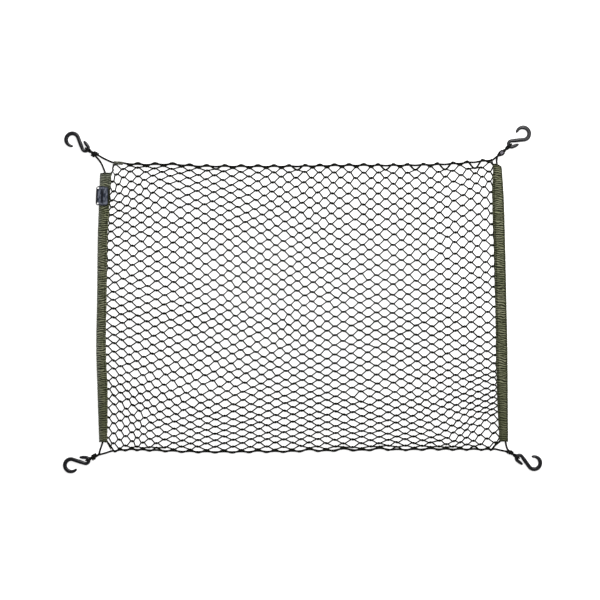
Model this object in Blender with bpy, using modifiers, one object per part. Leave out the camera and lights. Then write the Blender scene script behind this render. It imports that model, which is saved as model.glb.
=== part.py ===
"""Cargo net, lying flat and spread out, with an S-hook on each corner.

Units are metres, +Z is up and the origin is on the surface that the net lies on, at the middle
of its footprint. +X runs along the long side, from the labelled sleeve to the plain one, and +Y
runs towards the edge that the label is near. The tables below are in millimetres.
"""
import math

import bmesh
import bpy
import numpy as np
from mathutils import Vector

MM = 0.001

# ---- sizes that drive the model, in millimetres ----
CLEARANCE = 0.3

CORD_RADIUS = 1.4
CORD_HEIGHT = 2.3            # axis of the cord along the net's edges
CORD_SIDES_RESOLUTION = 2    # eight sides
WINDING_RADIUS = 2.0         # cord with the net's edge twine wound over it
WINDING_PITCH = 27.9         # one mesh of the net

NET_THICKNESS = 2.0
NET_HEM = 4.0                # uncut strip inside the top and bottom edges
NET_BAR_WIDTH = 3.0
NET_COLUMNS = 25             # real meshes across
GAP_ROWS = 26                # rows of cut gaps, twice the real pitch
GAP_SPAN = 2                 # half a cut gap's width, in half meshes
GAP_FIRST_COLUMNS = (3.0, 5.0)  # first gap of the even and of the odd rows, in half meshes
GAP_ROW_SAMPLES = 131        # places down the net at which its height is measured
NET_LONG_STEPS = 36          # straight pieces of the border along an edge and down a sleeve
NET_SIDE_STEPS = 18

SLEEVE_AXIS_HEIGHT = 3.4
SLEEVE_HALF_HEIGHT = 3.4     # over a gather's crest
SLEEVE_TROUGH = 0.7          # depth of the fold between two gathers
SLEEVE_GATHERS = 32
SLEEVE_SHALLOWER = 0.5       # share by which the shallowest trough is less deep
SLEEVE_UNEVEN = 0.28         # how far a fold strays, as a share of the space between folds
SLEEVE_SQUARENESS = 0.75     # 1 is an oval, less is squarer
SLEEVE_SIDES = 10
SLEEVE_CAVITY_HALF_HEIGHT = 1.85
SLEEVE_WALL = 1.3
SLEEVE_CAVITY_RINGS = 12     # places at which the cord's route in a sleeve is set

HOOK_EYE_RADIUS = 5.3        # centre line of the small bow
HOOK_EYE_BAR = 2.0           # bar radius in the small bow
HOOK_SHAFT_BAR = 2.6
HOOK_BOW_BAR = 3.0
HOOK_TIP_BAR = 1.9
HOOK_TONGUE_TIP_BAR = 1.3
HOOK_SHAFT_LENGTH = 21.8
HOOK_BOW_RADIUS = 10.3
HOOK_BOW_SWEEP = 245.0       # degrees
HOOK_BOW_OPENING = 1.0       # how far the bow widens towards its tip
HOOK_TONGUE_LENGTH = 14.0
HOOK_TONGUE_LEAN = 15.0      # degrees towards the shaft
HOOK_TONGUE_TAPER = 0.5      # share of the tongue that tapers
HOOK_TAPER = 0.3             # share of the bow that tapers to its tip
HOOK_SWELL = 0.25            # share of the bow in which its bar reaches full thickness
HOOK_TIP_ROUND = 0.6         # size of the bar's end face, as a share of the bar
HOOK_EYE_POINTS = 8
HOOK_BOW_POINTS = 14
HOOK_DROP = 0.3              # how far the eye's bar sinks in the cord's loop
HOOK_REST = 0.05             # height left under the bow

LOOP_LOW = 1.6               # cord axis where it passes under the hook's eye
LOOP_CLEARANCE = 0.45
KNOT_LOW = 3.2               # the two passes of the cord through a knot
KNOT_HIGH = 6.6
KNOT_CENTRE_HEIGHT = 4.9
KNOT_HALF_HEIGHT = 4.6
KNOT_RIDGE = 0.5
KNOT_WRAPS = 3
KNOT_TWIST = 2.0             # radians that a wrap turns from the knot's middle to its end
CORNER_SPACING = 6.0         # between places along the cord at a corner

LABEL_WIDTH = 20.6
LABEL_LENGTH = 33.0
LABEL_THICKNESS = 1.6
LABEL_CORNER = 4.0
LABEL_CENTRE = (-344.0, 177.8)
LABEL_LEAN = 2.0             # degrees
LABEL_HOLE_RADIUS = 1.5
LABEL_HOLE_INSET = 3.4

WHIPPING_START = -323.0
WHIPPING_LENGTH = 14.0
WHIPPING_WALL = 0.65
WHIPPING_CHAMFER = (0.2, 0.6)  # inwards and along
WHIPPING_SIDES = 12

# How the net lies. A row for each band, counted in half meshes down from the top edge; for each,
# the place of five of its columns: at the left sleeve, a quarter across, the middle, three
# quarters across and at the right sleeve.
NET_HALF_COLUMNS = (0.0, 12.5, 25.0, 37.5, 50.0)
NET_BANDS = (
    # half row, left,         left quarter,  middle,      right quarter, right
    (0.0, (-330.0, 234.0), (-157.0, 230.0), (18.0, 229.0), (172.0, 230.0), (330.0, 239.0)),
    (12.0, (-330.0, 148.0), (-162.0, 147.0), (10.0, 131.0), (175.0, 130.0), (336.0, 138.0)),
    (26.0, (-335.0, 38.0), (-160.0, 26.0), (3.0, 15.0), (174.0, 9.0), (337.0, 14.0)),
    (40.0, (-337.0, -66.0), (-168.0, -88.0), (0.0, -101.0), (174.0, -97.0), (340.0, -103.0)),
    (53.0, (-338.0, -164.0), (-185.0, -191.0), (-2.0, -190.0), (179.0, -193.0), (338.0, -179.0)),
    (65.0, (-336.0, -259.0), (-187.0, -260.0), (-3.0, -260.0), (185.0, -257.0), (338.0, -256.0)),
)

# Axis of the cord along the net's long edges, from left to right.
TOP_EDGE = (
    # x, y
    (-324.3, 234.6), (-277.5, 233.8), (-222.6, 232.6), (-176.4, 228.8), (-145.0, 228.6),
    (-22.0, 228.6), (73.9, 230.2), (182.0, 230.5), (229.9, 231.7), (277.8, 234.5),
    (313.8, 238.2), (324.1, 239.6),
)
BOTTOM_EDGE = (
    # x, y
    (-325.5, -259.0), (-299.8, -256.6), (-267.2, -257.4), (-212.4, -259.5), (-22.0, -259.5),
    (73.9, -257.8), (169.9, -256.6), (241.8, -256.0), (327.2, -256.2),
)

# The sleeves, from top to bottom: the edge away from the net and the edge at the net.
LEFT_SLEEVE = (
    # y, outer x, inner x
    (218.0, -347.4, -328.8), (148.6, -349.8, -332.7), (126.3, -350.7, -334.2),
    (-0.5, -352.9, -336.5), (-87.9, -354.5, -337.7), (-153.1, -351.9, -335.0),
    (-243.7, -348.9, -335.4),
)
RIGHT_SLEEVE = (
    # y, outer x, inner x
    (229.5, 340.0, 326.3), (184.6, 342.8, 324.8), (88.6, 345.9, 327.9), (-0.5, 347.8, 330.3),
    (-72.5, 349.5, 331.5), (-168.5, 350.2, 332.9), (-243.0, 350.4, 336.9),
)

# The four corners. "bow" is the centre of the hook's big bow, "turn" the way its shaft points
# from the eye to the bow, in degrees from +X. "towards_edge" and "towards_sleeve" are the places
# that the cord's two ends pass between the knot and the net's edge or the sleeve: x, y, z.
CORNERS = {
    "top_left": {
        "bow": (-395.9, 275.8), "turn": 110.0,
        "knot": (-357.4, 249.7), "knot_size": (10.6, 10.4),
        "towards_edge": ((-340.0, 241.4, 3.4),),
        "towards_sleeve": ((-352.6, 243.0, 2.2), (-345.9, 234.4, 2.0), (-341.4, 224.6, 2.9)),
    },
    "top_right": {
        "bow": (377.4, 284.2), "turn": 4.3,
        "knot": (340.6, 252.0), "knot_size": (9.8, 8.8),
        "towards_edge": ((333.4, 245.9, 5.4), (329.0, 242.6, 3.6)),
        "towards_sleeve": ((333.2, 245.2, 1.8), (331.9, 237.5, 2.4)),
    },
    "bottom_left": {
        "bow": (-397.5, -283.8), "turn": 160.0,
        "knot": (-358.1, -268.9), "knot_size": (10.4, 9.4),
        "towards_edge": ((-349.6, -264.9, 5.2), (-339.0, -262.2, 3.2)),
        "towards_sleeve": ((-350.0, -264.0, 1.8), (-346.4, -254.4, 2.2)),
    },
    "bottom_right": {
        "bow": (396.1, -280.4), "turn": -57.6,
        "knot": (354.8, -262.1), "knot_size": (10.4, 8.2),
        "towards_edge": ((347.0, -259.6, 4.6), (338.0, -257.8, 2.8)),
        "towards_sleeve": ((350.9, -256.6, 2.2), (348.4, -250.0, 2.7)),
    },
}

COLOURS = {
    "net": ((0.016, 0.017, 0.011), 0.8),
    "shock_cord": ((0.008, 0.008, 0.009), 0.7),
    "sleeve": ((0.085, 0.090, 0.050), 0.9),
    "hook": ((0.010, 0.010, 0.013), 0.35),
    "label": ((0.060, 0.070, 0.105), 0.6),
    "whipping": ((0.100, 0.105, 0.070), 0.85),
}


# ---- helpers ----
def clear_scene():
    for thing in list(bpy.data.objects):
        bpy.data.objects.remove(thing, do_unlink=True)


def new_collection(name):
    collection = bpy.data.collections.new(name)
    bpy.context.scene.collection.children.link(collection)
    return collection


def material(name):
    colour, roughness = COLOURS[name]
    result = bpy.data.materials.new(name)
    result.use_nodes = True
    shader = result.node_tree.nodes["Principled BSDF"]
    shader.inputs["Base Color"].default_value = (*colour, 1.0)
    shader.inputs["Roughness"].default_value = roughness
    shader.inputs["Metallic"].default_value = 0.0
    return result


def blend(knots, values, where):
    """Value at one place of a smooth curve through values, one for each of the rising knots."""
    values = np.asarray(values, dtype=float)
    steps = np.diff(knots)
    slopes = (values[1:] - values[:-1]) / steps.reshape((-1,) + (1,) * (values.ndim - 1))
    tangents = np.empty_like(values)
    tangents[0] = slopes[0]
    tangents[-1] = slopes[-1]
    for i in range(1, len(knots) - 1):
        before, after = steps[i - 1], steps[i]
        tangents[i] = (slopes[i - 1] * after + slopes[i] * before) / (before + after)
    i = int(np.clip(np.searchsorted(knots, where) - 1, 0, len(knots) - 2))
    step = steps[i]
    t = (where - knots[i]) / step
    return ((2 * t**3 - 3 * t**2 + 1) * values[i] + (t**3 - 2 * t**2 + t) * step * tangents[i]
            + (3 * t**2 - 2 * t**3) * values[i + 1] + (t**3 - t**2) * step * tangents[i + 1])


def smooth_route(points, spacing):
    """Points about `spacing` apart on a smooth curve through the given ones."""
    points = np.asarray(points, dtype=float)
    lengths = np.linalg.norm(np.diff(points, axis=0), axis=1)
    knots = np.concatenate([[0.0], np.cumsum(lengths)])
    count = max(1, round(knots[-1] / spacing))
    return [blend(knots, points, knots[-1] * i / count) for i in range(count + 1)]


def poly_curve(name, collection, paths, cyclic, depth=0.0, two_d=False):
    """Curve object with one straight-sided spline for each path; millimetres in, metres out."""
    data = bpy.data.curves.new(name, "CURVE")
    data.dimensions = "2D" if two_d else "3D"
    data.fill_mode = "BOTH" if two_d else "FULL"
    data.bevel_depth = depth * MM
    data.bevel_resolution = CORD_SIDES_RESOLUTION
    data.use_fill_caps = not two_d and not cyclic
    for path in paths:
        spline = data.splines.new("POLY")
        spline.points.add(len(path) - 1)
        for point, place in zip(spline.points, path):
            point.co = (place[0] * MM, place[1] * MM, place[2] * MM, 1.0)
            point.radius = place[3]
        spline.use_cyclic_u = cyclic
    thing = bpy.data.objects.new(name, data)
    collection.objects.link(thing)
    return thing


def as_mesh(curve_object, merge=1e-6):
    """Replace a curve object by a mesh object of the same form, with its caps welded on."""
    bpy.context.view_layer.update()
    evaluated = curve_object.evaluated_get(bpy.context.evaluated_depsgraph_get())
    mesh = bpy.data.meshes.new_from_object(evaluated)
    name = curve_object.name
    collection = curve_object.users_collection[0]
    placing = curve_object.matrix_world.copy()
    bpy.data.objects.remove(curve_object, do_unlink=True)
    work = bmesh.new()
    work.from_mesh(mesh)
    bmesh.ops.remove_doubles(work, verts=work.verts, dist=merge)
    work.to_mesh(mesh)
    work.free()
    thing = bpy.data.objects.new(name, mesh)
    collection.objects.link(thing)
    thing.matrix_world = placing
    return thing


def finish(thing, look, smooth_angle=50.0):
    """Give a mesh object its material and shade its round faces smooth."""
    thing.data.materials.clear()
    thing.data.materials.append(look)
    for face in thing.data.polygons:
        face.use_smooth = True
    thing.data.set_sharp_from_angle(angle=math.radians(smooth_angle))
    return thing


def compass(degrees):
    return np.array((math.cos(math.radians(degrees)), math.sin(math.radians(degrees))))


# ---- how the pieces lie ----
def net_point(half_column, half_row):
    """Where a knot of the net lies, counted in half meshes from its top left corner."""
    bands = [band[0] for band in NET_BANDS]
    column_line = [blend(NET_HALF_COLUMNS, band[1:], half_column) for band in NET_BANDS]
    return blend(bands, column_line, half_row)


def edge_height(edge, x):
    return float(blend([place[0] for place in edge], [place[1] for place in edge], x))


def sleeve_span(sleeve, y):
    """Outer and inner edge of a sleeve at one height of the sheet."""
    rows = sleeve[::-1]
    return blend([row[0] for row in rows], [row[1:] for row in rows], y)


def eye_centre(corner):
    """Centre of the hook's small bow."""
    along = compass(corner["turn"])
    across = compass(corner["turn"] - 90.0)
    return (np.array(corner["bow"]) + (HOOK_EYE_RADIUS + HOOK_BOW_RADIUS) * across
            - HOOK_SHAFT_LENGTH * along)


def loop_radius():
    return HOOK_EYE_BAR + LOOP_CLEARANCE + CORD_RADIUS


# ---- the net ----
def net_border():
    """Outline of the net, just inside the edge cords and the sleeves."""
    inset = CORD_RADIUS + WHIPPING_WALL + 2 * CLEARANCE

    def along(edge, direction):
        start, end = edge[0][0], edge[-1][0]
        for i in range(NET_LONG_STEPS + 1):
            x = start + (end - start) * i / NET_LONG_STEPS
            yield x, edge_height(edge, x) - direction * inset

    def down(sleeve, direction):
        top, bottom = sleeve[0][0], sleeve[-1][0]
        for i in range(NET_SIDE_STEPS + 1):
            y = top + (bottom - top) * i / NET_SIDE_STEPS
            yield sleeve_span(sleeve, y)[1] + direction * CLEARANCE, y

    return (list(along(TOP_EDGE, 1.0)) + list(down(RIGHT_SLEEVE, -1.0))
            + list(along(BOTTOM_EDGE, -1.0))[::-1] + list(down(LEFT_SLEEVE, 1.0))[::-1])


def gap_outline(half_column, half_row, half_height):
    """Diamond gap around one place, less half a bar of twine on each of its sides."""
    corners = [net_point(half_column + GAP_SPAN, half_row),
               net_point(half_column, half_row - half_height),
               net_point(half_column - GAP_SPAN, half_row),
               net_point(half_column, half_row + half_height)]
    middle = sum(corners) / 4.0
    half_width = np.linalg.norm(corners[0] - corners[2]) / 2.0
    half_tall = np.linalg.norm(corners[1] - corners[3]) / 2.0
    to_side = half_width * half_tall / math.hypot(half_width, half_tall)
    shrink = (to_side - NET_BAR_WIDTH / 2.0) / to_side
    return [middle + (corner - middle) * shrink for corner in corners]


def gap_rows():
    """Half row of each row of gaps, evenly spaced down the net."""
    fine_rows = np.linspace(NET_BANDS[0][0], NET_BANDS[-1][0], GAP_ROW_SAMPLES)
    heights = [np.mean([net_point(column, row)[1] for column in NET_HALF_COLUMNS])
               for row in fine_rows]
    top, bottom = heights[0] - NET_HEM, heights[-1] + NET_HEM
    step = (top - bottom) / (GAP_ROWS + 1)
    centres = [np.interp(-(top - step * (i + 1)), [-height for height in heights], fine_rows)
               for i in range(GAP_ROWS)]
    reach = [(centres[min(i + 1, GAP_ROWS - 1)] - centres[max(i - 1, 0)])
             / (min(i + 1, GAP_ROWS - 1) - max(i - 1, 0)) for i in range(GAP_ROWS)]
    return list(zip(centres, reach))


def build_net(collection):
    outlines = [net_border()]
    columns = 2 * NET_COLUMNS
    for i, (half_row, half_height) in enumerate(gap_rows()):
        first = GAP_FIRST_COLUMNS[i % 2]
        for half_column in np.arange(first, columns - GAP_SPAN, 2 * GAP_SPAN):
            outlines.append(gap_outline(half_column, half_row, half_height))
    paths = [[(x, y, 0.0, 1.0) for x, y in outline] for outline in outlines]
    thing = poly_curve("net", collection, paths, cyclic=True, two_d=True)
    thing.data.extrude = NET_THICKNESS / 2.0 * MM
    thing.location.z = NET_THICKNESS / 2.0 * MM
    return finish(as_mesh(thing), material("net"), smooth_angle=30.0)


# ---- the sleeves ----
def sleeve_ring(centre_x, half_width, half_height, y):
    """One oval section of a sleeve, flattened above and below."""
    power = SLEEVE_SQUARENESS
    angles = [2 * math.pi * i / SLEEVE_SIDES for i in range(SLEEVE_SIDES)]
    tallest = max(abs(math.sin(angle)) ** power for angle in angles)
    ring = []
    for angle in angles:
        c, s = math.cos(angle), math.sin(angle)
        x = centre_x + half_width * math.copysign(abs(c) ** power, c)
        z = SLEEVE_AXIS_HEIGHT + half_height * math.copysign(abs(s) ** power, s) / tallest
        ring.append(Vector((x, y, z)) * MM)
    return ring


def sleeve_rings(sleeve):
    """Sections over the gathers from top to bottom, then back up inside the cord's passage."""
    top, bottom = sleeve[0][0], sleeve[-1][0]
    folds = 2 * SLEEVE_GATHERS
    rings = []
    for i in range(folds + 1):
        stray = SLEEVE_UNEVEN * math.sin(2.3 * i) if 0 < i < folds else 0.0
        y = top + (bottom - top) * (i + stray) / folds
        outer, inner = sleeve_span(sleeve, y)
        shallower = SLEEVE_SHALLOWER * (1.0 - math.sin(1.7 * i)) / 2.0
        trough = SLEEVE_TROUGH * (1.0 - shallower) if i % 2 else 0.0
        rings.append(sleeve_ring((outer + inner) / 2.0, abs(outer - inner) / 2.0 - trough,
                                 SLEEVE_HALF_HEIGHT - trough, y))
    for i in range(SLEEVE_CAVITY_RINGS):
        y = bottom + (top - bottom) * i / (SLEEVE_CAVITY_RINGS - 1)
        outer, inner = sleeve_span(sleeve, y)
        rings.append(sleeve_ring((outer + inner) / 2.0,
                                 abs(outer - inner) / 2.0 - SLEEVE_TROUGH - SLEEVE_WALL,
                                 SLEEVE_CAVITY_HALF_HEIGHT, y))
    return rings


def build_sleeve(collection, name, sleeve, look):
    rings = sleeve_rings(sleeve)
    work = bmesh.new()
    loops = [[work.verts.new(place) for place in ring] for ring in rings]
    for here, there in zip(loops, loops[1:] + loops[:1]):
        for i in range(SLEEVE_SIDES):
            j = (i + 1) % SLEEVE_SIDES
            work.faces.new((here[i], here[j], there[j], there[i]))
    bmesh.ops.recalc_face_normals(work, faces=work.faces)
    mesh = bpy.data.meshes.new(name)
    work.to_mesh(mesh)
    work.free()
    thing = bpy.data.objects.new(name, mesh)
    collection.objects.link(thing)
    return finish(thing, look)


# ---- the cord, with its knots and the loops that hold the hooks ----
def loop_points(corner):
    """The doubled end of the cord at one corner: out of the knot above, round the eye's bar and
    back into the knot below."""
    eye = eye_centre(corner)
    knot = np.array(corner["knot"])
    outward = (knot - eye) / np.linalg.norm(knot - eye)
    bar = eye + HOOK_EYE_RADIUS * outward
    middle = LOOP_LOW + loop_radius()
    points = [(*knot, KNOT_HIGH)]
    for angle in range(90, 271, 30):
        reach = loop_radius() * math.cos(math.radians(angle))
        rise = loop_radius() * math.sin(math.radians(angle))
        points.append((*(bar + reach * outward), middle + rise))
    points.append((*knot, KNOT_LOW))
    return points


def corner_route(corner, edge_end, sleeve_end):
    """The cord from the net's edge, through the knot, round the hook and back to the sleeve."""
    knot = np.array(corner["knot"])
    to_knot = [edge_end, *corner["towards_edge"][::-1], (*knot, KNOT_HIGH)]
    from_knot = [(*knot, KNOT_LOW), *corner["towards_sleeve"], sleeve_end]
    return (smooth_route(to_knot, CORNER_SPACING)[1:-1] + loop_points(corner)
            + smooth_route(from_knot, CORNER_SPACING)[1:-1])


def edge_route(edge):
    """The cord along one long edge, thicker at each mesh where the net's twine is wound over."""
    places = [(x, y, CORD_HEIGHT) for x, y in edge]
    length = sum(math.dist(a, b) for a, b in zip(places, places[1:]))
    meshes = round(length / WINDING_PITCH)
    per_mesh = 3
    route = smooth_route(places, length / (meshes * per_mesh))
    thick = WINDING_RADIUS / CORD_RADIUS
    last = len(route) - 1
    return [(*place, thick if i % per_mesh == 1 and 2 < i < last else 1.0)
            for i, place in enumerate(route)]


def sleeve_route(sleeve):
    """The cord inside one sleeve, from its top end to its bottom end."""
    top, bottom = sleeve[0][0], sleeve[-1][0]
    steps = SLEEVE_CAVITY_RINGS - 1
    route = []
    for i in range(steps + 1):
        y = top + (bottom - top) * i / steps
        route.append((sum(sleeve_span(sleeve, y)) / 2.0, y, SLEEVE_AXIS_HEIGHT))
    return route


def plain(points):
    return [(*point, 1.0) for point in points]


def cord_route():
    """The whole closed cord, clockwise from the net's top left corner."""
    top, bottom = edge_route(TOP_EDGE), edge_route(BOTTOM_EDGE)[::-1]
    right, left = sleeve_route(RIGHT_SLEEVE), sleeve_route(LEFT_SLEEVE)[::-1]
    top_right = corner_route(CORNERS["top_right"], top[-1][:3], right[0])
    bottom_right = corner_route(CORNERS["bottom_right"], bottom[0][:3], right[-1])[::-1]
    bottom_left = corner_route(CORNERS["bottom_left"], bottom[-1][:3], left[0])
    top_left = corner_route(CORNERS["top_left"], top[0][:3], left[-1])[::-1]
    return (top + plain(top_right) + plain(right) + plain(bottom_right)
            + bottom + plain(bottom_left) + plain(left) + plain(top_left))


def build_knot(collection, name, corner):
    """Lump of one overhand knot, with its wraps raised round it."""
    along, across = (size / 2.0 for size in corner["knot_size"])
    work = bmesh.new()
    bmesh.ops.create_uvsphere(work, u_segments=12, v_segments=8, radius=1.0)
    for vert in work.verts:
        x, y, z = vert.co
        wrap = math.cos(KNOT_WRAPS * math.atan2(y, x) + KNOT_TWIST * z) * math.hypot(x, y)
        vert.co *= 1.0 + KNOT_RIDGE * wrap / across
        vert.co = Vector((vert.co.z * along, vert.co.x * across, vert.co.y * KNOT_HALF_HEIGHT)) * MM
    bmesh.ops.recalc_face_normals(work, faces=work.faces)
    mesh = bpy.data.meshes.new(name)
    work.to_mesh(mesh)
    work.free()
    thing = bpy.data.objects.new(name, mesh)
    collection.objects.link(thing)
    knot, eye = np.array(corner["knot"]), eye_centre(corner)
    thing.location = Vector((*knot, KNOT_CENTRE_HEIGHT)) * MM
    thing.rotation_euler.z = math.atan2(knot[1] - eye[1], knot[0] - eye[0])
    thing.hide_render = True
    thing.display_type = "WIRE"
    return thing


def build_cord(parts, operands):
    thing = poly_curve("shock_cord", parts, [cord_route()], cyclic=True, depth=CORD_RADIUS)
    thing = as_mesh(thing)
    for place, corner in CORNERS.items():
        knot = build_knot(operands, "knot_" + place, corner)
        union = thing.modifiers.new("knot_" + place, "BOOLEAN")
        union.operation = "UNION"
        union.solver = "EXACT"
        union.object = knot
    return finish(thing, material("shock_cord"))


# ---- the hooks ----
def hook_path():
    """Centre line of a hook from its tongue's tip to its bow's tip, about the eye's centre, with
    the shaft along +Y: x, y, z and the bar's radius over the largest one."""
    lean = math.radians(HOOK_TONGUE_LEAN)
    path = []
    start = HOOK_EYE_RADIUS * np.array((math.cos(lean), math.sin(lean)))
    tip = start + HOOK_TONGUE_LENGTH * np.array((-math.sin(lean), math.cos(lean)))
    path.append((*tip, HOOK_TONGUE_TIP_BAR * HOOK_TIP_ROUND))
    path.append((*(tip + (start - tip) * HOOK_TONGUE_TAPER / 10.0), HOOK_TONGUE_TIP_BAR))
    path.append((*(tip + (start - tip) * HOOK_TONGUE_TAPER), HOOK_EYE_BAR))
    for i in range(HOOK_EYE_POINTS + 1):
        angle = lean - (math.pi + lean) * i / HOOK_EYE_POINTS
        path.append((HOOK_EYE_RADIUS * math.cos(angle), HOOK_EYE_RADIUS * math.sin(angle),
                     HOOK_EYE_BAR))
    path.append((-HOOK_EYE_RADIUS, HOOK_SHAFT_LENGTH / 2.0, HOOK_SHAFT_BAR))
    for i in range(HOOK_BOW_POINTS + 1):
        share = i / HOOK_BOW_POINTS
        angle = math.radians(HOOK_BOW_SWEEP) * share
        radius = HOOK_BOW_RADIUS + HOOK_BOW_OPENING * share**2
        bar = HOOK_SHAFT_BAR + (HOOK_BOW_BAR - HOOK_SHAFT_BAR) * min(1.0, share / HOOK_SWELL)
        bar += (HOOK_TIP_BAR - HOOK_BOW_BAR) * max(0.0, share - (1.0 - HOOK_TAPER)) / HOOK_TAPER
        path.append((radius * math.cos(angle) - HOOK_EYE_RADIUS - HOOK_BOW_RADIUS,
                     radius * math.sin(angle) + HOOK_SHAFT_LENGTH, bar))
    end, before = np.array(path[-1]), np.array(path[-2])
    ahead = (end - before)[:2] / np.linalg.norm((end - before)[:2])
    path.append((*(end[:2] + HOOK_TIP_BAR / 2.0 * ahead), HOOK_TIP_BAR * HOOK_TIP_ROUND))
    return [(x, y, 0.0, bar / HOOK_BOW_BAR) for x, y, bar in path]


def build_hook(collection, place, corner, look):
    """A hook lies with its bow on the surface and its eye raised by the cord under it."""
    thing = poly_curve("hook_" + place, collection, [hook_path()], cyclic=False,
                       depth=HOOK_BOW_BAR)
    eye_height = LOOP_LOW + loop_radius() - HOOK_DROP
    far_end = HOOK_SHAFT_LENGTH + HOOK_BOW_RADIUS
    tilt = math.asin((eye_height - HOOK_BOW_BAR - HOOK_REST) / far_end)
    thing.location = Vector((*eye_centre(corner), eye_height)) * MM
    thing.rotation_euler = (-tilt, 0.0, math.radians(corner["turn"] - 90.0))
    return finish(as_mesh(thing), look)


# ---- the label and the whipping ----
def rounded_rectangle(width, length, corner, steps=4):
    outline = []
    for quarter, (side, end) in enumerate(((1, 1), (-1, 1), (-1, -1), (1, -1))):
        for i in range(steps + 1):
            angle = math.pi / 2.0 * (quarter + i / steps)
            outline.append((side * (width / 2.0 - corner) + corner * math.cos(angle),
                            end * (length / 2.0 - corner) + corner * math.sin(angle)))
    return outline


def circle(centre, radius, steps=12):
    return [(centre[0] + radius * math.cos(2 * math.pi * i / steps),
             centre[1] + radius * math.sin(2 * math.pi * i / steps)) for i in range(steps)]


def build_label(collection):
    """A stiff label on top of the left sleeve, with a hole in each of its two free corners."""
    hole_x = LABEL_HOLE_INSET - LABEL_WIDTH / 2.0
    hole_y = LABEL_LENGTH / 2.0 - LABEL_HOLE_INSET
    outlines = [rounded_rectangle(LABEL_WIDTH, LABEL_LENGTH, LABEL_CORNER),
                circle((hole_x, hole_y), LABEL_HOLE_RADIUS),
                circle((hole_x, -hole_y), LABEL_HOLE_RADIUS)]
    paths = [[(x, y, 0.0, 1.0) for x, y in outline] for outline in outlines]
    thing = poly_curve("label", collection, paths, cyclic=True, two_d=True)
    thing.data.extrude = LABEL_THICKNESS / 2.0 * MM
    height = SLEEVE_AXIS_HEIGHT + SLEEVE_HALF_HEIGHT + CLEARANCE + LABEL_THICKNESS / 2.0
    thing.location = Vector((*LABEL_CENTRE, height)) * MM
    thing.rotation_euler.z = math.radians(-LABEL_LEAN)
    return finish(as_mesh(thing), material("label"), smooth_angle=30.0)


def build_whipping(collection):
    """Thread bound round the cord, as a short open sleeve: a turned profile."""
    inner = CORD_RADIUS + CLEARANCE
    outer = inner + WHIPPING_WALL
    half = WHIPPING_LENGTH / 2.0
    inwards, along = WHIPPING_CHAMFER
    profile = [(outer - inwards, half), (outer, half - along), (outer, along - half),
               (outer - inwards, -half), (inner, -half), (inner, half)]
    mesh = bpy.data.meshes.new("corner_whipping")
    mesh.from_pydata([(x * MM, 0.0, z * MM) for x, z in profile],
                     [(i, (i + 1) % len(profile)) for i in range(len(profile))], [])
    thing = bpy.data.objects.new("corner_whipping", mesh)
    collection.objects.link(thing)
    turn = thing.modifiers.new("turn", "SCREW")
    turn.steps = WHIPPING_SIDES
    turn.render_steps = WHIPPING_SIDES
    turn.use_merge_vertices = True
    turn.merge_threshold = 1e-6
    middle = WHIPPING_START + half
    height = edge_height(TOP_EDGE, middle)
    slope = math.atan(edge_height(TOP_EDGE, middle + 1.0) - height)
    thing.location = Vector((middle, height, CORD_HEIGHT)) * MM
    thing.rotation_euler = (0.0, math.radians(90.0), slope)
    mesh.materials.append(material("whipping"))
    return thing


def main():
    clear_scene()
    parts = new_collection("cargo_net")
    operands = new_collection("joined_pieces")
    build_net(parts)
    cloth = material("sleeve")
    build_sleeve(parts, "sleeve_left", LEFT_SLEEVE, cloth)
    build_sleeve(parts, "sleeve_right", RIGHT_SLEEVE, cloth)
    build_cord(parts, operands)
    plastic = material("hook")
    for place, corner in CORNERS.items():
        build_hook(parts, place, corner, plastic)
    build_label(parts)
    build_whipping(parts)


main()
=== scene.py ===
import math

import bmesh
import bpy
import numpy as np
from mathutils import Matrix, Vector, noise


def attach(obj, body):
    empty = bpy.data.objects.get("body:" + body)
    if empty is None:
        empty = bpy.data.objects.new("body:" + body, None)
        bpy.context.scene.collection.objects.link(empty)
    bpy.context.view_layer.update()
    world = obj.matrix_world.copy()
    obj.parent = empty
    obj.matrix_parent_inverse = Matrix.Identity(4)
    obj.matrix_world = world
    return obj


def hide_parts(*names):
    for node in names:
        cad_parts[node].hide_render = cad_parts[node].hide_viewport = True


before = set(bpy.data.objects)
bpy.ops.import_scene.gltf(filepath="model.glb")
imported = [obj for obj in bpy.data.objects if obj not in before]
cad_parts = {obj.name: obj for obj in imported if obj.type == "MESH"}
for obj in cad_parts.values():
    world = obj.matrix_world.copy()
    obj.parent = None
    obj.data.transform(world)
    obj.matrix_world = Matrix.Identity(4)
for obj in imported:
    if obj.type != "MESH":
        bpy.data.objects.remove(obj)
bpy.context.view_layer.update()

# Cargo net laid out flat, with an S-hook on each corner. Lengths in the tables and functions are
# millimetres; a mesh is made in metres. +X runs along the net's long sides, +Y towards its top
# edge and +Z up from the surface that it lies on.

MM = 0.001
UP = np.array((0.0, 0.0, 1.0))
chance = np.random.default_rng(21)

# ---- sizes ----
CORD_RADIUS = 1.7
CORD_HEIGHT = 2.5            # axis of the cord along the net's edges
CORD_SIDES = 14
CORD_STEP = 1.6              # between rings of the cord
CORD_RIPPLE = 0.5            # how far the winding pulls the cord from side to side
EDGE_ROUTE_STEP = 4.0        # between places of its route along an edge
SLEEVE_ROUTE_STEPS = 15      # steps of its route through a sleeve
ROUTE_CLOSEST = 0.5          # places of its whole route nearer than this count once
ROUTE_POWER = 0.8            # of each length between two of them
ROUTE_PARTS = 6              # in which such a length is taken

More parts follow.
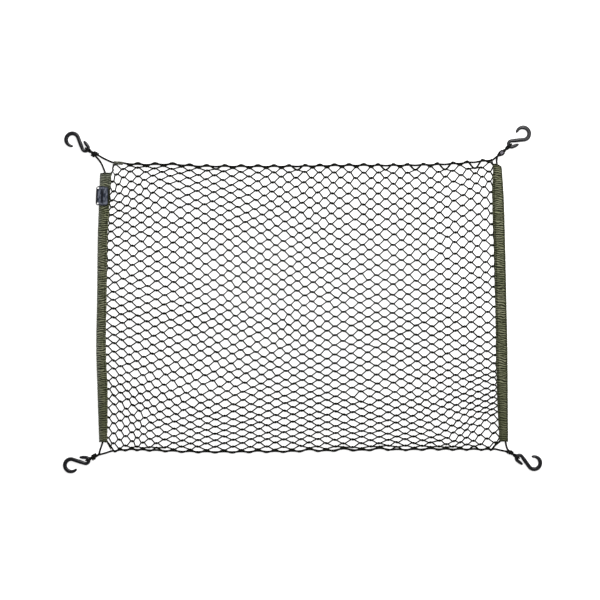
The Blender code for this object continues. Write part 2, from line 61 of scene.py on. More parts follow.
TWINE_RADIUS = 1.2
TWINE_SIDES = 6
TWINE_UNEVEN = 0.06          # share by which one row of twine is thicker or thinner
JOINT_RADIUS = 1.36          # the twine where two rows of it are knitted together
JOINT_HALF = 2.7             # half of a joint's length
JOINT_HALF_AT_EDGE = 0.6     # share of it beside an edge cord
JOINT_OFFSET = 0.78          # of each row of twine from the middle of the joint
JOINT_STRAY = 0.55           # how unevenly the joints lie
JOINT_LEAN = 0.12            # how unevenly they are turned, in radians
JOINT_LIFT = 0.35            # how unevenly they stand off the surface
JOINT_LIFT_LEAST = 0.05
# A row of twine at a joint: share of the half length, share of the offset and radius.
JOINT_PROFILE = ((-1.0, 0.4, TWINE_RADIUS), (-0.42, 1.0, JOINT_RADIUS),
                 (0.42, 1.0, JOINT_RADIUS), (1.0, 0.4, TWINE_RADIUS))
SIDE_REACH = 1.6             # a joint this near to a side twine is tied to it
SIDE_TUCK = 3.0              # how far the netting's side goes into a sleeve
SIDE_TWINE_STEP = 2.0        # between rings of a side twine

WINDING_RADIUS = 1.35        # the net's edge twine, doubled, wound round the cord
WINDING_SWELL = 0.25         # thicker where it lies beside the cord
WINDING_SINK = 0.1           # how far it is pressed into the cord
WINDING_STEPS = 14           # for each half mesh
WINDING_SIDES = 8
SLACK_REACH = 0.95           # half columns on each side that a turn standing off takes up
SLACK_FREE = 2.5             # a turn that stands off this far lies free of the cord
SLACK_DROP = 0.9             # and this far below the cord's axis
PULL_REACH = 1.5             # half columns on each side that a pull on the cord takes up

SLEEVE_AXIS_HEIGHT = 3.4
SLEEVE_HALF_HEIGHT = 3.3
SLEEVE_HEM = 3.2             # flat seam beside the net
SLEEVE_HEM_HALF = 1.5        # half its thickness
SLEEVE_HEM_EASE = 2.2        # how sharply the tube turns into the seam
SLEEVE_STITCH = 3.0          # length of a stitch and the space after it
SLEEVE_STITCH_HALF = 0.55    # half the width of the line that the stitches press in
SLEEVE_GATHER = 3.5          # from one gather to the next
SLEEVE_GATHER_DEPTH = 1.9
SLEEVE_FULLNESS = 0.5        # how far its crests stand out past its mean edges
SLEEVE_THINNEST = 0.35       # half height left in the deepest fold
SLEEVE_RING_STEP = 0.55
SLEEVE_SIDES = 44
SLEEVE_LIP_RINGS = 5.0       # rings over which an end is drawn in
SLEEVE_LIP = 0.28            # share by which it is drawn in
SLEEVE_SLANT_REACH = 9.0     # length of its top end that is slanted
SLEEVE_RAGGED = 0.5          # how ragged its ends are
SLEEVE_RAGGED_REACH = 2.5
SLEEVE_SQUARENESS = (0.85, 0.8)   # of its section, sideways and upwards: 1 is an oval
SIDE_FOLD = 0.7              # depth of the gathers on its sides, as a share of those above
SEAM_CALM = 0.45             # share by which they are less deep in the seam
STITCH_DEPTH = (0.35, 0.45)  # of the pressed line, between the stitches and added in one
STITCH_SHADE = 0.6           # how much darker a stitch is
UNDERSIDE_SHIFT = 40.0       # its underside is rucked like a place of the cloth this far across
PASSAGE_WALL = 2.4           # from the sleeve's mean edges to the cord's passage in it
PASSAGE_ASIDE = 0.6          # how far the passage lies outwards of the middle
PASSAGE_HALF_HEIGHT = 1.7
PASSAGE_RING_EVERY = 6       # rings of the sleeve for each ring of its passage
PASSAGE_CREST = 0.1          # painted as dark as the shade of a deep fold

# Unevenness of the cloth: its reach along and across it, its seed and its amount.
BROAD_WANDER = (15.0, 12.0, 1.3, 1.65)
FINE_WANDER = (5.0, 6.0, 7.7, 1.125)
RUN_CHANGES = (12.0, 7.0, 5.2, 2.4)
DEPTH_CHANGES = (8.0, 7.0, 4.1, 0.6)
# Two runs of gathers: pitch as a share of SLEEVE_GATHER, and slant in radians a millimetre.
FINE_RUN = (0.9, 1.0 / 14.0)
BROAD_RUN = (1.15, -1.0 / 9.0)
CREST_POWER = 0.8            # less than 1 broadens a crest and narrows a fold
GATHER_DEPTH_MEAN = 0.9      # shares of SLEEVE_GATHER_DEPTH
GATHER_DEPTH_LEAST = 0.4
LABEL_SLANT = 0.0165         # how much the folds slant towards the label
LABEL_SLANT_REACH = 17.0     # and how far from it
CALM_BELOW = -120.0          # the painted fold shade and crest highlight are evened out from here to the bottom share of the way to the bottom at which they are most even
CALM_REACH = 0.625           # share of the way to the bottom at which they are calmest
CALM_CREST = 0.76            # the even shade that they then tend to
CALM_MOST = 0.5              # and how far
# How much darker the gathers read: at a sleeve's ends and over what length; at one share of the
# plain sleeve's width and over what share of it; and beside the label, along what length.
END_SHADE = (0.4, 2.8)
PLAIN_SHADES = ((0.16, 0.0, 0.12), (0.33, 0.9, 0.05))
LABEL_SHADE = (0.42, 15.0)
# How grey the cloth is turned: its most, where it starts and where it is full, as shares of the
# sleeve's width from the net's side, and as lengths above the label's middle.
GREYED_SIDE = (0.75, 0.55, 0.85)
GREYED_ABOVE = (0.9, 12.0, 22.0)
GREYED_PATCHES = (20.0, 0.5, 3.3, 0.8)
GREYED_MEAN = 0.6

HOOK_EYE_RADIUS = 5.3
HOOK_EYE_BAR = 2.9
HOOK_SHAFT_BAR = 3.35
HOOK_BOW_BAR = 3.55
HOOK_TIP_BAR = 2.25
HOOK_TONGUE_TIP_BAR = 1.6
HOOK_SHAFT_LENGTH = 21.8
HOOK_BOW_RADIUS = 10.2
HOOK_BOW_SWEEP = 245.0       # degrees
HOOK_BOW_OPENING = 1.5       # how far the bow widens towards its tip
HOOK_BOW_SWELL = 0.25        # share of the bow in which its bar reaches full thickness
HOOK_BOW_TAPER = 0.3         # share of it that tapers to its tip
HOOK_TONGUE_LENGTH = 11.2
HOOK_TONGUE_LEAN = 17.0      # degrees
HOOK_TONGUE_TAPER = 0.5      # share of the tongue that tapers
HOOK_GROOVE = 0.16           # depth of the moulded channel, as a share of the bar
HOOK_GROOVE_SPAN = (0.40, 0.93)   # shares of the hook's rings at which it starts and ends
HOOK_GROOVE_EASE = (0.05, 0.10)   # shares of them over which it deepens and runs out
HOOK_GROOVE_HALF = 0.42      # half its width, in radians round the bar
HOOK_SEAM = 0.035            # height of the mould's parting line, as a share of the bar
HOOK_SEAM_HALF = 0.12        # half its width, in radians round the bar
HOOK_SIDES = 32
HOOK_EYE_STEPS = 20
HOOK_SHAFT_STEPS = 9
HOOK_SHAFT_SWELL = 3.0       # steps in which its bar reaches the shaft's thickness
HOOK_BOW_STEPS = 44
HOOK_DROP = 0.3              # how far the eye's bar sinks in the cord's loop
HOOK_REST = 0.05             # height left under the bow
# Places along the tongue, as shares of it from its rounded tip, and fullness of the bar at each.
TONGUE_ROUND = ((0.0, 0.25), (0.012, 0.62), (0.035, 0.88), (0.07, 1.0), (0.16, 1.0), (0.3, 1.0),
                (0.45, 1.0), (0.6, 1.0), (0.8, 1.0))
# The bow's rounded tip: steps past its end, in HOOK_TIP_BAR, and fullness of the bar at each.
BOW_ROUND = ((0.175, 0.94), (0.35, 0.72), (0.45, 0.4))

LOOP_LOW = 1.75              # axis of the cord where it passes under the hook's eye
LOOP_CLEARANCE = 0.2         # between the eye's bar and that cord
LOOP_EASE = 0.1              # from the eye's bar to the cord round it
LOOP_TWIST = 0.75            # turns of the doubled cord between the hook and the knot
LOOP_STEPS = 9
LOOP_SPREAD = 1 / 3.2        # share of the doubled cord that spreads to go round the bar
LOOP_SPREAD_POWER = 1.5      # more than 1 spreads it late
LOOP_ANGLES = range(100, 261, 20)   # places round the bar, in degrees
PAIR_OFFSET = 1.6            # of each cord of the doubled cord from its middle
KNOT_CENTRE_HEIGHT = 4.9
KNOT_LOW = 3.6               # the two passes of the cord through a knot
KNOT_HIGH = 6.2
KNOT_PASS_APART = 0.9        # of each pass from the knot's middle
KNOT_ENTRY = 0.3             # share of a knot's length from its middle to the doubled cord's end
KNOT_TURNS = 2.35            # outer turns of a knot, and where the first one starts
KNOT_START = -0.9
KNOT_HALF_HEIGHT = 3.1       # of the axis of its outer turns
KNOT_LEANS = {"across": 1.5, "along": 2.6}   # how far a turn leans along the knot
KNOT_TUCK = 0.55             # how far the two ends of the turns are drawn into the knot
KNOT_TUCKED = 0.1            # share of the turns at each end that is drawn in
KNOT_PLACES = 64             # along the outer turns
FACE_TURNS = 1.12            # round the knot that lies face up, and where the turn starts
FACE_START = 0.6
FACE_RISE = (0.4, 1.1)       # of that turn over the knot's centre: least and added
FACE_PLACES = 49             # along that turn
FACE_CROSSING = (1.25, 3.6, 1.5)   # of the two turns across its face: offset, reach and height
CROSSING_PLACES = 9          # along each of them

LABEL_WIDTH = 20.6
LABEL_LENGTH = 33.0
LABEL_THICKNESS = 1.5
LABEL_BEVEL = 0.28           # roundness of its edge
LABEL_CORNER = 4.0
LABEL_CENTRE = (-344.0, 177.8)
LABEL_LEAN = 2.0             # degrees
LABEL_HEIGHT = 7.9           # middle of its thickness
LABEL_HOLE_RADIUS = 1.5
LABEL_HOLE_INSET = 3.4
LABEL_CORNER_STEPS = 8
LABEL_HOLE_STEPS = 20
LABEL_MESH_STEP = 1.1        # longest edge of its mesh
LABEL_SPLITS = 4             # rounds in which the longer ones are split
LABEL_SHARP = 40.0           # degrees: an edge of it that turns more looks sharp
LABEL_RIM = 1.3              # width of the raised rim, its slope and its height
LABEL_RIM_SLOPE = 0.4
LABEL_RIM_HEIGHT = 0.18
LABEL_FREE_FROM = -4.0       # its outer part droops from here
LABEL_SAG = 0.5 / 14.0       # droop at 1 mm from there
LABEL_SAG_POWER = 1.5        # of that distance
LABEL_WAVE = 0.25            # height and length of the waves in it
LABEL_WAVE_LENGTH = 6.0
LABEL_FLAT_FROM = 2.0        # it has no waves from here inwards
LABEL_BAND = (0.2, 2.4, 4.0)       # its dark band: middle, half width and inset from the ends
LABEL_EDGES = (3.0, 1.2, 2.0)      # widths of its dark outer edge, inner edge and ends

WHIPPING_START = -323.4
WHIPPING_LENGTH = 14.8
WHIPPING_RADIUS = 2.7        # of the middle of its threads
WHIPPING_UNEVEN = 0.3        # how far a turn may lie from that radius
WHIPPING_UNEVEN_REACH = 2.0  # and over what length that changes
WHIPPING_STEPS = 16          # places in a turn
THREAD_RADIUS = 0.5
THREAD_PITCH = 0.92
THREAD_SIDES = 6

# ---- how the net lies ----
# Half meshes are counted from the left sleeve and down from the top edge. For five columns, each
# band gives the place of one row of joints.
NET_FIRST_COLUMN = -1
NET_LAST_COLUMN = 50
NET_FIRST_ROW = 1
NET_LAST_ROW = 64
NET_HALF_COLUMNS = (0.0, 12.5, 25.0, 37.5, 50.0)
NET_BANDS = (
    # half row, left,         left quarter,  middle,      right quarter, right
    (1.0, (-336.0, 232.0), (-157.0, 228.0), (17.0, 227.0), (172.0, 228.0), (333.0, 237.0)),
    (12.0, (-331.0, 149.0), (-162.0, 147.0), (10.0, 131.0), (175.0, 130.0), (337.0, 138.0)),
    (26.0, (-336.0, 38.0), (-159.0, 26.0), (3.0, 15.0), (174.0, 9.0), (343.0, 14.0)),
    (40.0, (-338.0, -66.0), (-168.0, -88.0), (-1.0, -101.0), (174.0, -97.0), (342.0, -104.0)),
    (53.0, (-338.0, -164.0), (-184.0, -191.0), (-2.0, -190.0), (179.0, -194.0), (338.0, -178.0)),
    (64.0, (-340.0, -257.0), (-187.0, -258.0), (-3.0, -257.0), (184.0, -255.0), (342.0, -254.0)),
)
# Where the net is bunched or pulled out of those even bands.
TUGS = (
    # half column, half row, reach in half columns and half rows, shift in x, shift in y
    (7.0, 6.0, 2.0, 3.0, -9.0, 6.0),
    (-1.0, 6.0, 2.0, 6.0, 6.5, -6.0),
    (3.0, 2.0, 2.0, 3.0, -4.0, 3.0),
    (18.0, 6.0, 2.0, 6.0, 3.5, -1.0),
    (28.0, 8.0, 2.0, 6.0, -2.5, 1.0),
    (41.0, 0.0, 4.0, 6.0, 2.0, -3.0),
    (47.0, 8.0, 2.0, 3.0, 3.5, 2.5),
    (0.0, 24.0, 2.0, 3.0, 5.0, 0.0),
    (51.0, 26.0, 2.0, 12.0, -5.5, 0.5),
    (21.0, 34.0, 2.0, 3.0, 4.0, 0.0),
    (36.0, 52.0, 2.0, 3.0, 2.0, 2.5),
    (7.0, 62.0, 2.0, 6.0, -7.0, -1.5),
    (-1.0, 62.0, 2.0, 12.0, 5.0, 5.0),
    (18.0, 60.0, 2.0, 6.0, 4.0, 1.0),
    (31.0, 64.0, 4.0, 6.0, -3.0, -1.0),
    (42.0, 60.0, 2.0, 3.0, 5.5, -4.5),
    (49.0, 58.0, 2.0, 3.0, -1.5, 8.5),
    (0.0, 5.5, 0.9, 2.0, 3.8, -3.0),
    (0.0, 8.2, 0.9, 1.0, -1.5, -4.0),
    (49.0, 4.2, 1.2, 1.8, -3.5, 2.0),
    (50.0, 33.5, 1.5, 4.5, 4.5, 0.0),
    (1.5, 29.0, 2.5, 5.0, -3.2, 0.0),
)
LONG_EDGES = {
    "top": {
        "line": (
            # x, y
            (-324.3, 234.8), (-306.0, 233.6), (-288.0, 232.2), (-222.6, 231.8), (-176.4, 228.8),
            (-145.0, 228.6), (-22.0, 228.6), (73.9, 230.2), (182.0, 230.5), (229.9, 231.7),
            (277.8, 234.5), (313.8, 238.2), (324.1, 239.6),
        ),
        "row": NET_FIRST_ROW,
        "outward": 1.0,
        # Half columns at which the edge twine stands off the cord, and how far.
        "slack": {13: 1.6, 23: 3.2, 35: 4.4, 39: 4.8, 43: 5.8, 47: 7.4},
        # Half columns at which the net pulls the cord up with it, and how far.
        "pulls": {},
        # First and last half column of the winding, and how far it stands out between two joints.
        "wound": (2.4, 49.2),
        "bulge": 0.9,
    },
    "bottom": {
        "line": (
            # x, y
            (-325.5, -259.0), (-299.8, -256.6), (-267.2, -257.4), (-212.4, -259.5),
            (-22.0, -259.5), (73.9, -257.8), (169.9, -256.6), (241.8, -256.0), (327.2, -256.2),
        ),
        "row": NET_LAST_ROW,
        "outward": -1.0,
        "slack": {8: 1.4, 36: 1.6, 46: 2.0},
        "pulls": {20: 0.9, 26: 2.2, 30: 2.2, 34: 2.2, 40: 1.0},
        "wound": (0.8, 49.4),
        "bulge": 0.6,
    },
}
# "aside" is how far the cord lies outwards of a sleeve's middle, at its top, inside it and at its
# bottom. "slant" is how far the outer side of its top end is drawn down. "held_at" is the middle
# of the label that holds the cloth.
SLEEVES = {
    "left": {
        "span": (
            # y, outer x, inner x
            (218.0, -347.4, -328.8), (148.6, -349.8, -332.7), (126.3, -350.7, -334.2),
            (-0.5, -352.5, -336.5), (-87.9, -353.9, -337.7), (-153.1, -351.9, -335.0),
            (-243.7, -348.9, -335.4),
        ),
        "aside": (0.9, 0.9, 0.9), "seed": 0.0, "slant": 1.2, "held_at": LABEL_CENTRE[1],
    },
    "right": {
        "span": (
            # y, outer x, inner x
            (233.4, 340.2, 326.3), (184.6, 343.6, 324.8), (88.6, 346.6, 327.9),
            (-0.5, 348.6, 329.7), (-72.5, 350.2, 331.0), (-168.5, 351.0, 332.9),
            (-243.0, 351.3, 336.9),
        ),
        "aside": (-1.0, 0.9, 3.0), "seed": 90.0, "slant": 5.0, "held_at": None,
    },
}
# The net's side twine between an edge cord and the end of a sleeve: x, y, z and its radius.
SIDE_TWINES = {
    "top_left": ((-322.5, 234.0, 1.5, 1.0), (-324.6, 230.5, 1.2, 1.0), (-326.0, 225.7, 1.3, 1.1),
                 (-325.2, 222.4, 1.7, 1.6), (-328.0, 217.0, 1.8, 1.3), (-330.2, 211.0, 2.6, 1.4),
                 (-331.8, 206.0, 3.2, 1.4)),
    "top_right": ((322.5, 241.0, 1.8, 1.3), (324.3, 236.0, 1.5, 1.3), (326.6, 229.0, 1.8, 1.2),
                  (329.5, 223.0, 3.2, 1.2)),
    "bottom_left": ((-324.0, -259.5, 1.9, 1.5), (-326.2, -255.5, 1.7, 1.5),
                    (-331.0, -248.8, 1.7, 1.5), (-336.5, -241.0, 2.4, 1.5),
                    (-339.0, -236.0, 3.2, 1.5)),
    "bottom_right": ((323.5, -257.5, 2.1, 1.7), (326.6, -252.5, 1.9, 1.7),
                     (331.6, -247.5, 1.9, 1.7), (337.5, -242.5, 2.4, 1.8),
                     (342.0, -237.0, 3.2, 1.8)),
}
# "bow" is the centre of the hook's large bow and "turn" the way that its shaft points, in degrees
# from +X. "knot" is the middle of the knot, "knot_size" its length and width, and "lie" how its
# turns lie. "towards_edge" and "towards_sleeve" are places of the cord on from the knot: x, y, z.
CORNERS = {
    "top_left": {
        "bow": (-394.8, 274.7), "turn": 110.6,
        "knot": (-356.7, 249.0), "knot_size": (11.0, 11.8), "lie": "across",
        "towards_edge": ((-340.0, 241.4, 3.0),),
        "towards_sleeve": ((-352.6, 243.0, 2.2), (-345.9, 234.4, 2.0), (-341.4, 224.6, 2.9)),
    },
    "top_right": {
        "bow": (377.4, 284.2), "turn": 5.5,
        "knot": (341.0, 251.8), "knot_size": (10.4, 9.6), "lie": "face_up",
        "towards_edge": ((333.4, 245.9, 5.0), (329.0, 242.6, 3.6)),
        "towards_sleeve": ((333.2, 245.2, 1.8), (331.9, 237.5, 2.4)),
    },
    "bottom_left": {
        "bow": (-397.4, -283.2), "turn": 161.6,
        "knot": (-358.1, -269.2), "knot_size": (10.6, 10.6), "lie": "across",
        "towards_edge": ((-349.6, -265.8, 4.8), (-339.0, -262.9, 3.0)),
        "towards_sleeve": ((-350.4, -265.4, 1.8), (-347.2, -256.4, 2.2)),
    },
    "bottom_right": {
        "bow": (395.9, -280.1), "turn": -54.4,
        "knot": (354.4, -261.2), "knot_size": (10.8, 9.0), "lie": "along",
        "towards_edge": ((347.0, -259.6, 4.2), (338.0, -257.8, 2.8)),
        "towards_sleeve": ((350.9, -256.6, 2.2), (348.4, -250.0, 2.7)),
    },
}


# ---- curves ----
def blend(knots, values, where):
    """Value at one place of a smooth curve through values, one for each of the rising knots."""
    values = np.asarray(values, dtype=float)
    steps = np.diff(knots)
    slopes = (values[1:] - values[:-1]) / steps.reshape((-1,) + (1,) * (values.ndim - 1))
    tangents = np.empty_like(values)
    tangents[0] = slopes[0]
    tangents[-1] = slopes[-1]
    for i in range(1, len(knots) - 1):
        before, after = steps[i - 1], steps[i]
        tangents[i] = (slopes[i - 1] * after + slopes[i] * before) / (before + after)
    i = int(np.clip(np.searchsorted(knots, where) - 1, 0, len(knots) - 2))
    step = steps[i]
    t = (where - knots[i]) / step
    return ((2 * t**3 - 3 * t**2 + 1) * values[i] + (t**3 - 2 * t**2 + t) * step * tangents[i]
            + (3 * t**2 - 2 * t**3) * values[i + 1] + (t**3 - t**2) * step * tangents[i + 1])


def smooth_route(points, spacing):
    """Points about `spacing` apart on a smooth curve through the given ones."""
    points = np.asarray(points, dtype=float)
    lengths = np.linalg.norm(np.diff(points, axis=0), axis=1)
    knots = np.concatenate([[0.0], np.cumsum(lengths)])
    count = max(2, round(knots[-1] / spacing))
    return [blend(knots, points, knots[-1] * i / count) for i in range(count + 1)]


def compass(degrees):
    return np.array((math.cos(math.radians(degrees)), math.sin(math.radians(degrees))))


def unit(vector):
    return vector / np.linalg.norm(vector)


def clamp(value):
    return min(1.0, max(0.0, value))


def bell(distance, width):
    return math.exp(-(distance / width) ** 2)


def edge_line(edge, x):
    """Where the cord along a long edge lies at one x."""
    return float(blend([place[0] for place in edge["line"]],
                       [place[1] for place in edge["line"]], x))


def sleeve_span(span, y):
    """Outer and inner edge of a sleeve at one y."""
    rows = span[::-1]
    return blend([row[0] for row in rows], [row[1:] for row in rows], y)


# ---- meshes ----
def carried_ups(ahead, closed):
    """A direction across the strand at each place, turned as little as can be from one place to
    the next, and the angle by which the last one of a closed strand misses the first."""
    up = np.array((1.0, 0.0, 0.0)) if abs(ahead[0][2]) > 0.9 else UP
    ups = []
    for direction in ahead:
        up = unit(up - up.dot(direction) * direction)
        ups.append(up)
    if not closed:
        return ups, 0.0
    last = unit(up - up.dot(ahead[0]) * ahead[0])
    return ups, math.atan2(last.dot(np.cross(ahead[0], ups[0])), last.dot(ups[0]))


class Strands:
    """Round strands gathered into one mesh. The map "along" holds turns round a strand and metres
    along it, so that a braid or a twist follows the strand."""

    def __init__(self, sides):
        self.sides = sides
        self.points = []
        self.faces = []
        self.map = []

    def add(self, places, radii, closed=False, section=None):
        """One strand along the given places. `section` scales the radius at an angle and a share
        of the length."""
        places = np.asarray(places, dtype=float)
        count = len(places)
        radii = np.broadcast_to(np.asarray(radii, dtype=float), (count,))
        following = np.roll(places, -1, axis=0)
        ahead = following - np.roll(places, 1, axis=0) if closed else np.gradient(places, axis=0)
        ahead /= np.linalg.norm(ahead, axis=1)[:, None]
        ups, twist = carried_ups(ahead, closed)
        first = len(self.points)
        for i in range(count):
            side = np.cross(ahead[i], ups[i])
            for j in range(self.sides):
                angle = 2 * math.pi * j / self.sides + twist * i / count
                radius = radii[i] * (section(angle, i / (count - 1)) if section else 1.0)
                offset = math.sin(angle) * ups[i] + math.cos(angle) * side
                self.points.append((places[i] + radius * offset) * MM)
        steps = np.linalg.norm(following - places, axis=1)
        along = np.concatenate([[0.0], np.cumsum(steps)]) * MM
        for i in range(count if closed else count - 1):
            here, there = (first + k % count * self.sides for k in (i, i + 1))
            self.join_rings(here, there, along[i], along[i + 1])
        if not closed:
            for i, way in ((0, -1), (count - 1, 1)):
                tip = places[i] + way * 0.5 * radii[i] * ahead[i]
                self.cap(first + i * self.sides, tip, way, along[i])

    def join_rings(self, here, there, start, end):
        for j in range(self.sides):
            k = (j + 1) % self.sides
            self.faces.append((here + j, here + k, there + k, there + j))
            low, high = j / self.sides, (j + 1) / self.sides
            self.map += [(low, start), (high, start), (high, end), (low, end)]

    def cap(self, ring, tip_place, way, along):
        """Blunt point on an end of a strand."""
        tip = len(self.points)
        self.points.append(tip_place * MM)
        for j in range(self.sides):
            pair = (ring + j, ring + (j + 1) % self.sides)
            self.faces.append((tip, *pair[::way]))
            self.map += [(j / self.sides, along)] * 3

    def make(self, name, look):
        return new_piece(name, self.points, self.faces, look, self.map)


def add_to_scene(name, data):
    thing = bpy.data.objects.new(name, data)
    bpy.context.scene.collection.objects.link(thing)
    return thing


def mark_points(mesh, name, values):
    """A value at each point, which a material reads by its name."""
    layer = mesh.attributes.new(name, "FLOAT", "POINT")
    layer.data.foreach_set("value", np.array(values, dtype=np.float32))


def new_piece(name, points, faces, look, uvs=None):
    """Mesh object in metres, with outward faces, shaded smooth."""
    mesh = bpy.data.meshes.new(name)
    mesh.from_pydata([tuple(point) for point in points], [], faces)
    if uvs is not None:
        layer = mesh.uv_layers.new(name="along")
        layer.data.foreach_set("uv", np.asarray(uvs, dtype=np.float32).ravel())
    work = bmesh.new()
    work.from_mesh(mesh)
    bmesh.ops.recalc_face_normals(work, faces=work.faces)
    work.to_mesh(mesh)
    work.free()
    mesh.shade_smooth()
    mesh.materials.append(look)
    return add_to_scene(name, mesh)


# ---- shader groups ----
def new_group(name, inputs, outputs):
    """Node group with float sockets, except that a socket named Position holds a vector."""
    group = bpy.data.node_groups.new(name, "ShaderNodeTree")
    for socket, value in inputs.items():
        kind = "NodeSocketVector" if socket == "Position" else "NodeSocketFloat"
        made = group.interface.new_socket(socket, in_out="INPUT", socket_type=kind)
        if value is not None:
            made.default_value = value
    for socket in outputs:
        group.interface.new_socket(socket, in_out="OUTPUT", socket_type="NodeSocketFloat")
    return group, group.nodes.new("NodeGroupInput"), group.nodes.new("NodeGroupOutput")


def feed(tree, socket, value):
    """Link an output to an input, or set the input to a plain value."""
    if isinstance(value, bpy.types.NodeSocket):
        tree.links.new(value, socket)
    else:
        socket.default_value = value


def math_node(tree, operation, *values):
    node = tree.nodes.new("ShaderNodeMath")
    node.operation = operation
    for socket, value in zip(node.inputs, values):
        feed(tree, socket, value)
    return node.outputs["Value"]


def ramp(tree, factor, *stops):
    """Colour ramp through (position, colour) stops."""
    node = tree.nodes.new("ShaderNodeValToRGB")
    feed(tree, node.inputs["Fac"], factor)
    elements = node.color_ramp.elements
    while len(elements) < len(stops):
        elements.new(0.5)
    for element, (position, colour) in zip(elements, stops):
        element.position = position
        element.color = (*colour, 1.0)
    return node.outputs["Color"]


def make_braid_group():
    """Two families of strands crossing over and under each other round a cord."""
    group, given, result = new_group("braided_strands", {"Around": None, "Along": None,
                                                         "Strands": 8.0, "Pitch": 0.004},
                                     ("Height", "Shade"))
    turns = math_node(group, "MULTIPLY", given.outputs["Around"], given.outputs["Strands"])
    travel = math_node(group, "DIVIDE", given.outputs["Along"], given.outputs["Pitch"])
    travel = math_node(group, "MULTIPLY", travel, given.outputs["Strands"])
    rises = []
    floors = []
    for operation in ("ADD", "SUBTRACT"):
        lane = math_node(group, operation, turns, travel)
        wave = math_node(group, "SINE", math_node(group, "MULTIPLY", lane, math.pi))
        rises.append(math_node(group, "ABSOLUTE", wave))
        floors.append(math_node(group, "FLOOR", lane))
    parity = math_node(group, "PINGPONG", math_node(group, "ADD", *floors), 1.0)
    over = math_node(group, "MULTIPLY", rises[0], parity)
    under = math_node(group, "MULTIPLY", rises[1], math_node(group, "SUBTRACT", 1.0, parity))
    height = math_node(group, "ADD", over, under)
    group.links.new(height, result.inputs["Height"])
    group.links.new(math_node(group, "POWER", height, 0.7), result.inputs["Shade"])
    return group


def make_twist_group():
    """Plies of a twisted twine or thread: ridges that wind along it."""
    group, given, result = new_group("twisted_plies", {"Around": None, "Along": None,
                                                       "Plies": 2.0, "Pitch": 0.004},
                                     ("Height",))
    turns = math_node(group, "MULTIPLY", given.outputs["Around"], given.outputs["Plies"])
    travel = math_node(group, "DIVIDE", given.outputs["Along"], given.outputs["Pitch"])
    lane = math_node(group, "ADD", turns, travel)
    wave = math_node(group, "SINE", math_node(group, "MULTIPLY", lane, math.pi))
    group.links.new(math_node(group, "ABSOLUTE", wave), result.inputs["Height"])
    return group


def make_patch_group():
    """Soft uneven patches: dust, fading and handling, at one size."""
    group, given, result = new_group("uneven_patches", {"Position": None, "Scale": 60.0,
                                                        "From": 0.35, "To": 0.65}, ("Mask",))
    cloud = group.nodes.new("ShaderNodeTexNoise")
    cloud.inputs["Detail"].default_value = 4.0
    group.links.new(given.outputs["Position"], cloud.inputs["Vector"])
    group.links.new(given.outputs["Scale"], cloud.inputs["Scale"])
    spread = group.nodes.new("ShaderNodeMapRange")
    group.links.new(cloud.outputs["Fac"], spread.inputs["Value"])
    group.links.new(given.outputs["From"], spread.inputs["From Min"])
    group.links.new(given.outputs["To"], spread.inputs["From Max"])
    group.links.new(spread.outputs["Result"], result.inputs["Mask"])
    return group


def make_weave_group():
    """Plain weave seen on the cloth: warp and weft threads, from a flat position."""
    group, given, result = new_group("plain_weave", {"Position": None, "Threads": 1500.0},
                                     ("Height",))
    parts = group.nodes.new("ShaderNodeSeparateXYZ")
    group.links.new(given.outputs["Position"], parts.inputs["Vector"])
    waves = []
    for axis in ("X", "Y"):
        scaled = math_node(group, "MULTIPLY", parts.outputs[axis], given.outputs["Threads"])
        waves.append(math_node(group, "SINE", math_node(group, "MULTIPLY", scaled, math.pi)))
    product = math_node(group, "MULTIPLY", *waves)
    group.links.new(math_node(group, "MULTIPLY_ADD", product, 0.5, 0.5), result.inputs["Height"])
    return group


BRAID = make_braid_group()
TWIST = make_twist_group()
PATCHES = make_patch_group()
WEAVE = make_weave_group()


# ---- materials ----
# Colours are linear red, green and blue.
TWINE_DARK, TWINE_WORN = (0.0045, 0.005, 0.0028), (0.011, 0.012, 0.007)
TWINE_LIGHT = (0.8, 0.45)    # share of its colour added on a ply's crest, and left beside it
BRAID_DARK, BRAID_CREST = (0.002, 0.002, 0.002), (0.011, 0.011, 0.011)
BRAID_DUSTY = (0.009, 0.0092, 0.0075)
# Painted grey highlight on the face of the top right knot.
BRAID_PAINTED_HIGHLIGHT = (0.20, 0.19, 0.22)
# Painted shade in the cloth's folds, at 0, to painted highlight on its crests, at 1, as it is and
# where it is turned grey.
CLOTH_SHADES = ((0.0, (0.002, 0.003, 0.001)), (0.55, (0.014, 0.016, 0.006)),
                (0.82, (0.112, 0.118, 0.068)), (1.0, (0.31, 0.315, 0.22)))
CLOTH_GREYED = ((0.0, (0.012, 0.014, 0.012)), (0.55, (0.060, 0.066, 0.056)),
                (0.85, (0.150, 0.160, 0.138)), (1.0, (0.30, 0.31, 0.28)))
CLOTH_DEEPER, CLOTH_FADED = (0.75, 0.79, 0.66), (1.1, 1.09, 1.06)   # shares of those shades
CLOTH_SHEEN = (0.75, 0.78, 0.6)
PLASTIC_BLACK, PLASTIC_HANDLED = (0.003, 0.003, 0.005), (0.007, 0.007, 0.010)
PLASTIC_ROUGHNESS = (0.14, 0.30)   # added where it is handled, and elsewhere
LABEL_DARK, LABEL_WORN = (0.020, 0.027, 0.044), (0.165, 0.180, 0.225)
BAND_DARK, BAND_SPECK = (0.0010, 0.0016, 0.005), (0.060, 0.072, 0.105)
BAND_SPECKED_BELOW = 0.9     # an edge that is darker than this has no specks
THREAD_DARK, THREAD_PALE = (0.030, 0.031, 0.020), (0.31, 0.315, 0.245)


def new_look(name, roughness, sheen=0.0, sheen_colour=(1.0, 1.0, 1.0), specular=0.5):
    look = bpy.data.materials.new(name)
    look.use_nodes = True
    shader = look.node_tree.nodes["Principled BSDF"]
    shader.inputs["Roughness"].default_value = roughness
    shader.inputs["Metallic"].default_value = 0.0
    shader.inputs["Specular IOR Level"].default_value = specular
    shader.inputs["Sheen Weight"].default_value = sheen
    shader.inputs["Sheen Roughness"].default_value = 0.5
    shader.inputs["Sheen Tint"].default_value = (*sheen_colour, 1.0)
    return look, look.node_tree, shader


